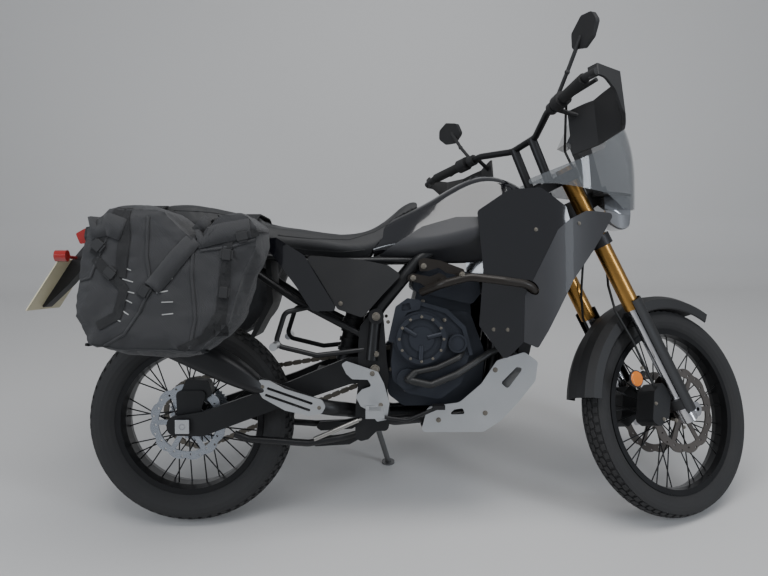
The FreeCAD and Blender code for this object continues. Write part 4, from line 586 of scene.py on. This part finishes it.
def bag_bands(tree, side, routes, thick, lift):
    """Bands of one kind on one pannier."""
    shape = bmesh.new()
    for route, width in routes:
        add_band(shape, tree, route, width, thick, side, lift, BAG_Y)
    return shape


def bag_cut_routes():
    """The routes and widths of the short slots."""
    for x, z, slope in BAG_CUTS:
        turn = math.radians(slope)
        reach = Vector((math.cos(turn), 0, math.sin(turn))) * CUT_HALF
        yield ((x - reach.x, z - reach.z), (x + reach.x, z + reach.z)), 3.0


def bag_buckles(tree, side):
    """The buckles on one pannier."""
    shape = bmesh.new()
    for x, z, turn in BAG_BUCKLES:
        y = side_point(tree, x, z, side, BAG_Y)
        for wide, deep, out in BUCKLE_PARTS:
            place = (Matrix.Translation((x, y + side * (BUCKLE_LIFT + out / 2), z)) @
                     Matrix.Rotation(math.radians(-turn), 4, "Y"))
            add_block(shape, place, (deep, out + 2, wide), 1.5)
    return shape


class ADV_OT_bags(bpy.types.Operator):
    """Stuff the two soft panniers, and lay their seams, flaps, straps and buckles"""
    bl_idname = "adv.bags"
    bl_label = "Panniers"

    def execute(self, context):
        for label, side in SIDES.items():
            node = "pannier_" + label
            bag = soft_form(node + "_cover", node, "bag_fabric", "chassis", BAG_VOXEL, BAG_CAP, BAG_FOLDS)
            tree = surface([bag.data])
            seams = [(route, 7) for route in BAG_SEAMS]
            finished(node + "_webbing", bag_bands(tree, side, BAG_STRAPS, 1.8, 1.2), "webbing", "chassis")
            finished(node + "_seams", bag_bands(tree, side, seams, 2.2, 0.6), "bag_fabric", "chassis",
                     smooth=True)
            finished(node + "_flaps", bag_bands(tree, side, BAG_FLAPS, 3.0, 2.0), "bag_fabric", "chassis",
                     smooth=True)
            finished(node + "_cuts", bag_bands(tree, side, bag_cut_routes(), 0.5, 0.9), "cut_thread", "chassis")
            finished(node + "_buckles", bag_buckles(tree, side), "black_plastic", "chassis")
        return {"FINISHED"}


SEAT_SEAMS = {
    "rider_seat": (((300, 930), (400, 920), (520, 918), (600, 945), (690, 1000)),
                   ((268, 900), (380, 884), (500, 876), (570, 884))),
    "pillion_seat": (((-30, 1010), (80, 1004), (190, 988), (240, 960)),),
}
SEAT_VOXEL = 0.006
SEAT_CAP = 0.004
SEAT_FOLDS = ((14.0, 0.0012),)
SEAT_Y = 120


class ADV_OT_seats(bpy.types.Operator):
    """Upholster the rider's and the passenger's seats, with their seams"""
    bl_idname = "adv.seats"
    bl_label = "Seats"

    def execute(self, context):
        for node, routes in SEAT_SEAMS.items():
            seat = soft_form(node + "_cover", node, "seat_vinyl", "chassis", SEAT_VOXEL, SEAT_CAP, SEAT_FOLDS)
            tree = surface([seat.data])
            seams = bmesh.new()
            for side in SIDES.values():
                for route in routes:
                    add_band(seams, tree, route, 3.5, 1.0, side, 0.2, SEAT_Y)
            finished(node + "_seams", seams, "seat_vinyl", "chassis", smooth=True)
        return {"FINISHED"}


# Bolts and trim

# X, Z, radius and height of the bolts on the faces that look sideways
CHASSIS_BOLTS = (
    (753, 722, 6, 7), (815, 666, 6, 7), (641, 660, 6, 7), (650, 508, 6, 7), (861, 548, 6, 7),
    (815, 477, 6, 7), (697, 443, 6, 7), (858, 806, 9, 8), (750, 832, 9, 8), (718, 796, 9, 8),
    (973, 511, 8, 6), (797, 356, 8, 6), (942, 377, 8, 6), (592, 501, 8, 6), (618, 404, 7, 6),
    (604, 677, 13, 8), (600, 512, 15, 10), (604, 560, 9, 8), (495, 718, 7, 4), (262, 470, 6, 4),
    (432, 406, 6, 4), (1000, 640, 6, 4), (1080, 940, 6, 4), (1215, 960, 6, 4), (960, 640, 6, 4),
)
FORK_BOLTS = ((1392, 484, 6, 5), (1440, 372, 6, 5), (1466, 322, 6, 5), (1512, 316, 7, 5))
BOLTED_NODES = ("engine", "frame", "crash_bars", "skid_plate", "heel_plates", "side_covers", "side_panels",
                "exhaust_shield", "exhaust", "swingarm", "rear_caliper", "shrouds", "side_fairings")
FORK_NODES = ("fork_sliders", "fork_guards", "front_calipers", "fork_tubes")
WIDEST_BOLT_Y = 330
FORK_Y = 110
INNERMOST_FORK_Y = 80
CLUTCH = (742, 610)
CLUTCH_BOLT_RING = 68
CLUTCH_BOLTS = 12
AXLE_PLATE_Y = 137.0
AXLE_PLATE = (44, 6, 44)
REFLECTOR = (1351, 118.0, 450)
REFLECTOR_R = 24
BRACKET_END = (1400, 106, 470)
DISC_BOLT_RING = 56
DISC_BOLTS = 6
DISC_BOLT_Y = 64.5


def ring_points(x, z, radius, count, shift=0.0):
    """X and Z of evenly spaced points on a circle."""
    for k in range(count):
        turn = math.tau * (k + shift) / count
        yield x + radius * math.cos(turn), z + radius * math.sin(turn)


def chassis_bolts():
    """The bolts of the frame, engine, guards and panels, and the ring round the clutch cover."""
    tree = surface(node_meshes(*BOLTED_NODES))
    shape = bmesh.new()
    for side in SIDES.values():
        for x, z, radius, tall in CHASSIS_BOLTS:
            y = side_point(tree, x, z, side)
            if abs(y) < WIDEST_BOLT_Y:
                add_bolt(shape, x, y, z, side, radius, tall)
    for x, z in ring_points(*CLUTCH, CLUTCH_BOLT_RING, CLUTCH_BOLTS):
        add_bolt(shape, x, side_point(tree, x, z, SIDES["right"]), z, SIDES["right"], 4.5, 5)
    return shape


def fork_bolts():
    """The bolts of the fork's feet and calipers."""
    tree = surface(node_meshes(*FORK_NODES), STEERED)
    shape = bmesh.new()
    for side in SIDES.values():
        for x, z, radius, tall in FORK_BOLTS:
            y = side_point(tree, x, z, side, FORK_Y)
            if abs(y) > INNERMOST_FORK_Y:
                add_bolt(shape, x, y, z, side, radius, tall)
    return shape


def fit_reflector(label, side):
    """One amber reflector beside a fork leg, in its holder with the bracket to the leg."""
    x, out, z = REFLECTOR
    y = side * out
    holder = bmesh.new()
    add_round(holder, (x, y, z), (x, y + side * 6, z), REFLECTOR_R + 3, 40, bevel=1.5)
    add_round(holder, (x, y, z), (BRACKET_END[0], side * BRACKET_END[1], BRACKET_END[2]), 7, 12)
    finished("reflector_holder_" + label, holder, "black_plastic", "steering", STEERED, True)
    lens = bmesh.new()
    add_round(lens, (x, y + side * 5.5, z), (x, y + side * 9, z), REFLECTOR_R, 40, top=REFLECTOR_R - 2,
              bevel=1.0)
    finished("reflector_" + label, lens, "amber_lens", "steering", STEERED, True)


class ADV_OT_hardware(bpy.types.Operator):
    """Fit the bolts, the rear axle's plates and the reflectors"""
    bl_idname = "adv.hardware"
    bl_label = "Hardware"

    def execute(self, context):
        finished("chassis_bolts", chassis_bolts(), "chain_steel", "chassis")
        plates = bmesh.new()
        for side in SIDES.values():
            add_block(plates, Matrix.Translation((0, side * AXLE_PLATE_Y, REAR_R)), AXLE_PLATE, 2)
        finished("axle_plates", plates, "satin_alloy", "chassis")
        finished("fork_bolts", fork_bolts(), "chain_steel", "steering", STEERED)
        for label, side in SIDES.items():
            fit_reflector(label, side)
        carriers = bmesh.new()
        for side in SIDES.values():
            for x, z in ring_points(WHEELBASE, FRONT_R, DISC_BOLT_RING, DISC_BOLTS, 0.5):
                add_bolt(carriers, x, side * DISC_BOLT_Y, z, side, 6, 5)
        finished("front_disc_bolts", carriers, "chain_steel", "front_wheel", STEERED)
        return {"FINISHED"}


# Stage

# The photo's camera, in millimetres and directions on the upright machine
CAMERA_PLACE = Vector((595.97, -2275.33, 807.64))
CAMERA_AHEAD = Vector((0.015364, 0.999681, -0.020057))
CAMERA_UP = Vector((0.001439, 0.020037, 0.999798))
LENS = 32.2
# The floor in metres: its front edge, half its width, and the steps that carry it back and up the wall
FLOOR_FRONT = -9
FLOOR_HALF = 12
FLOOR_STEPS = ((0, 11.5, 0), (0, 0.35, 0.12), (0, 0.12, 0.35), (0, 0, 6))
SKY_COLOUR = (0.86, 0.9, 0.95)
SKY_STRENGTH = 0.38


class StageSettings(bpy.types.PropertyGroup):
    """Choices for the floor and the light"""
    floor_colour: bpy.props.FloatVectorProperty(
        name="Floor colour", description="Colour of the floor and wall", subtype="COLOR", size=3,
        default=(0.62, 0.61, 0.6))
    light_power: bpy.props.FloatProperty(
        name="Light", description="Power of the large overhead light", default=70.0, min=0.0, unit="POWER")


def plain_material(name, colour, rough):
    """One even colour for the stage."""
    made = bpy.data.materials.new(name)
    made.use_nodes = True
    shader = made.node_tree.nodes["Principled BSDF"]
    shader.inputs["Base Color"].default_value = (*colour, 1)
    shader.inputs["Roughness"].default_value = rough
    return made


def area_light(name, place, target, size, power, colour=(1, 1, 1)):
    """A rectangular light aimed at a point."""
    lamp = bpy.data.lights.new(name, "AREA")
    lamp.shape = "RECTANGLE"
    lamp.size, lamp.size_y = size
    lamp.energy = power
    lamp.color = colour
    shown = bpy.data.objects.new(name, lamp)
    bpy.context.collection.objects.link(shown)
    aim = (Vector(target) - Vector(place)).to_track_quat("-Z", "Y")
    shown.matrix_world = Matrix.Translation(place) @ aim.to_matrix().to_4x4()


class ADV_OT_stage(bpy.types.Operator):
    """Lay the pale floor and wall, and set the lights and the camera"""
    bl_idname = "adv.stage"
    bl_label = "Stage"

    def execute(self, context):
        settings = context.scene.adv_stage
        room = bmesh.new()
        front = [room.verts.new((x, FLOOR_FRONT, 0)) for x in (-FLOOR_HALF, FLOOR_HALF)]
        line = [room.edges.new(front)]
        for move in FLOOR_STEPS:
            made = bmesh.ops.extrude_edge_only(room, edges=line)["geom"]
            fresh = [part for part in made if isinstance(part, bmesh.types.BMVert)]
            line = [edge for edge in made if isinstance(edge, bmesh.types.BMEdge)
                    and all(vert in fresh for vert in edge.verts)]
            bmesh.ops.translate(room, verts=fresh, vec=move)
        bmesh.ops.recalc_face_normals(room, faces=room.faces)
        mesh = bpy.data.meshes.new("floor")
        room.to_mesh(mesh)
        room.free()
        for face in mesh.polygons:
            face.use_smooth = True
        floor = bpy.data.objects.new("floor", mesh)
        mesh.materials.append(plain_material("floor_paint", settings.floor_colour, 0.45))
        context.collection.objects.link(floor)

        world = bpy.data.worlds.new("soft_room")
        context.scene.world = world
        world.use_nodes = True
        sky = world.node_tree.nodes["Background"]
        sky.inputs["Color"].default_value = (*SKY_COLOUR, 1)
        sky.inputs["Strength"].default_value = SKY_STRENGTH
        area_light("overhead", (0.2, -0.9, 3.4), (0, 0.2, 0.4), (3.2, 1.6), settings.light_power)
        area_light("window_left", (-3.4, -2.6, 2.0), (0, 0, 0.6), (1.4, 2.4), 55, (0.86, 0.92, 1.0))
        area_light("window_right", (3.6, -2.8, 1.9), (0.4, 0, 0.7), (0.8, 2.4), 60, (0.84, 0.91, 1.0))

        lens = bpy.data.cameras.new("camera")
        lens.lens = LENS
        lens.sensor_width = 36.0
        lens.clip_start = 0.05
        camera = bpy.data.objects.new("camera", lens)
        context.collection.objects.link(camera)
        turn = UPRIGHT.to_3x3().normalized()
        ahead = (turn @ CAMERA_AHEAD).normalized()
        right = ahead.cross(turn @ CAMERA_UP).normalized()
        axes = Matrix((right, right.cross(ahead), -ahead)).transposed()
        camera.matrix_world = Matrix.Translation(UPRIGHT @ CAMERA_PLACE) @ axes.to_4x4()
        context.scene.camera = camera
        return {"FINISHED"}


class ADV_PT_panel(bpy.types.Panel):
    """Pieces of the adventure motorcycle"""
    bl_idname = "ADV_PT_panel"
    bl_label = "Adventure motorcycle"
    bl_space_type = "VIEW_3D"
    bl_region_type = "UI"
    bl_category = "Motorcycle"

    def draw(self, context):
        for operator in OPERATORS:
            self.layout.operator(operator.bl_idname)
        self.layout.prop(context.scene.adv_stage, "floor_colour")
        self.layout.prop(context.scene.adv_stage, "light_power")


OPERATORS = (ADV_OT_finishes, ADV_OT_tyres, ADV_OT_bags, ADV_OT_seats, ADV_OT_hardware, ADV_OT_stage)
SETTINGS = {"adv_stage": StageSettings}


def register():
    for made in (*SETTINGS.values(), *OPERATORS, ADV_PT_panel):
        bpy.utils.register_class(made)
    for name, kind in SETTINGS.items():
        setattr(bpy.types.Scene, name, bpy.props.PointerProperty(type=kind))


def unregister():
    for name in SETTINGS:
        delattr(bpy.types.Scene, name)
    for made in reversed((*SETTINGS.values(), *OPERATORS, ADV_PT_panel)):
        bpy.utils.unregister_class(made)


def main():
    register()
    for operator in OPERATORS:
        family, name = operator.bl_idname.split(".")
        getattr(getattr(bpy.ops, family), name)()


if __name__ == "__main__":
    main()
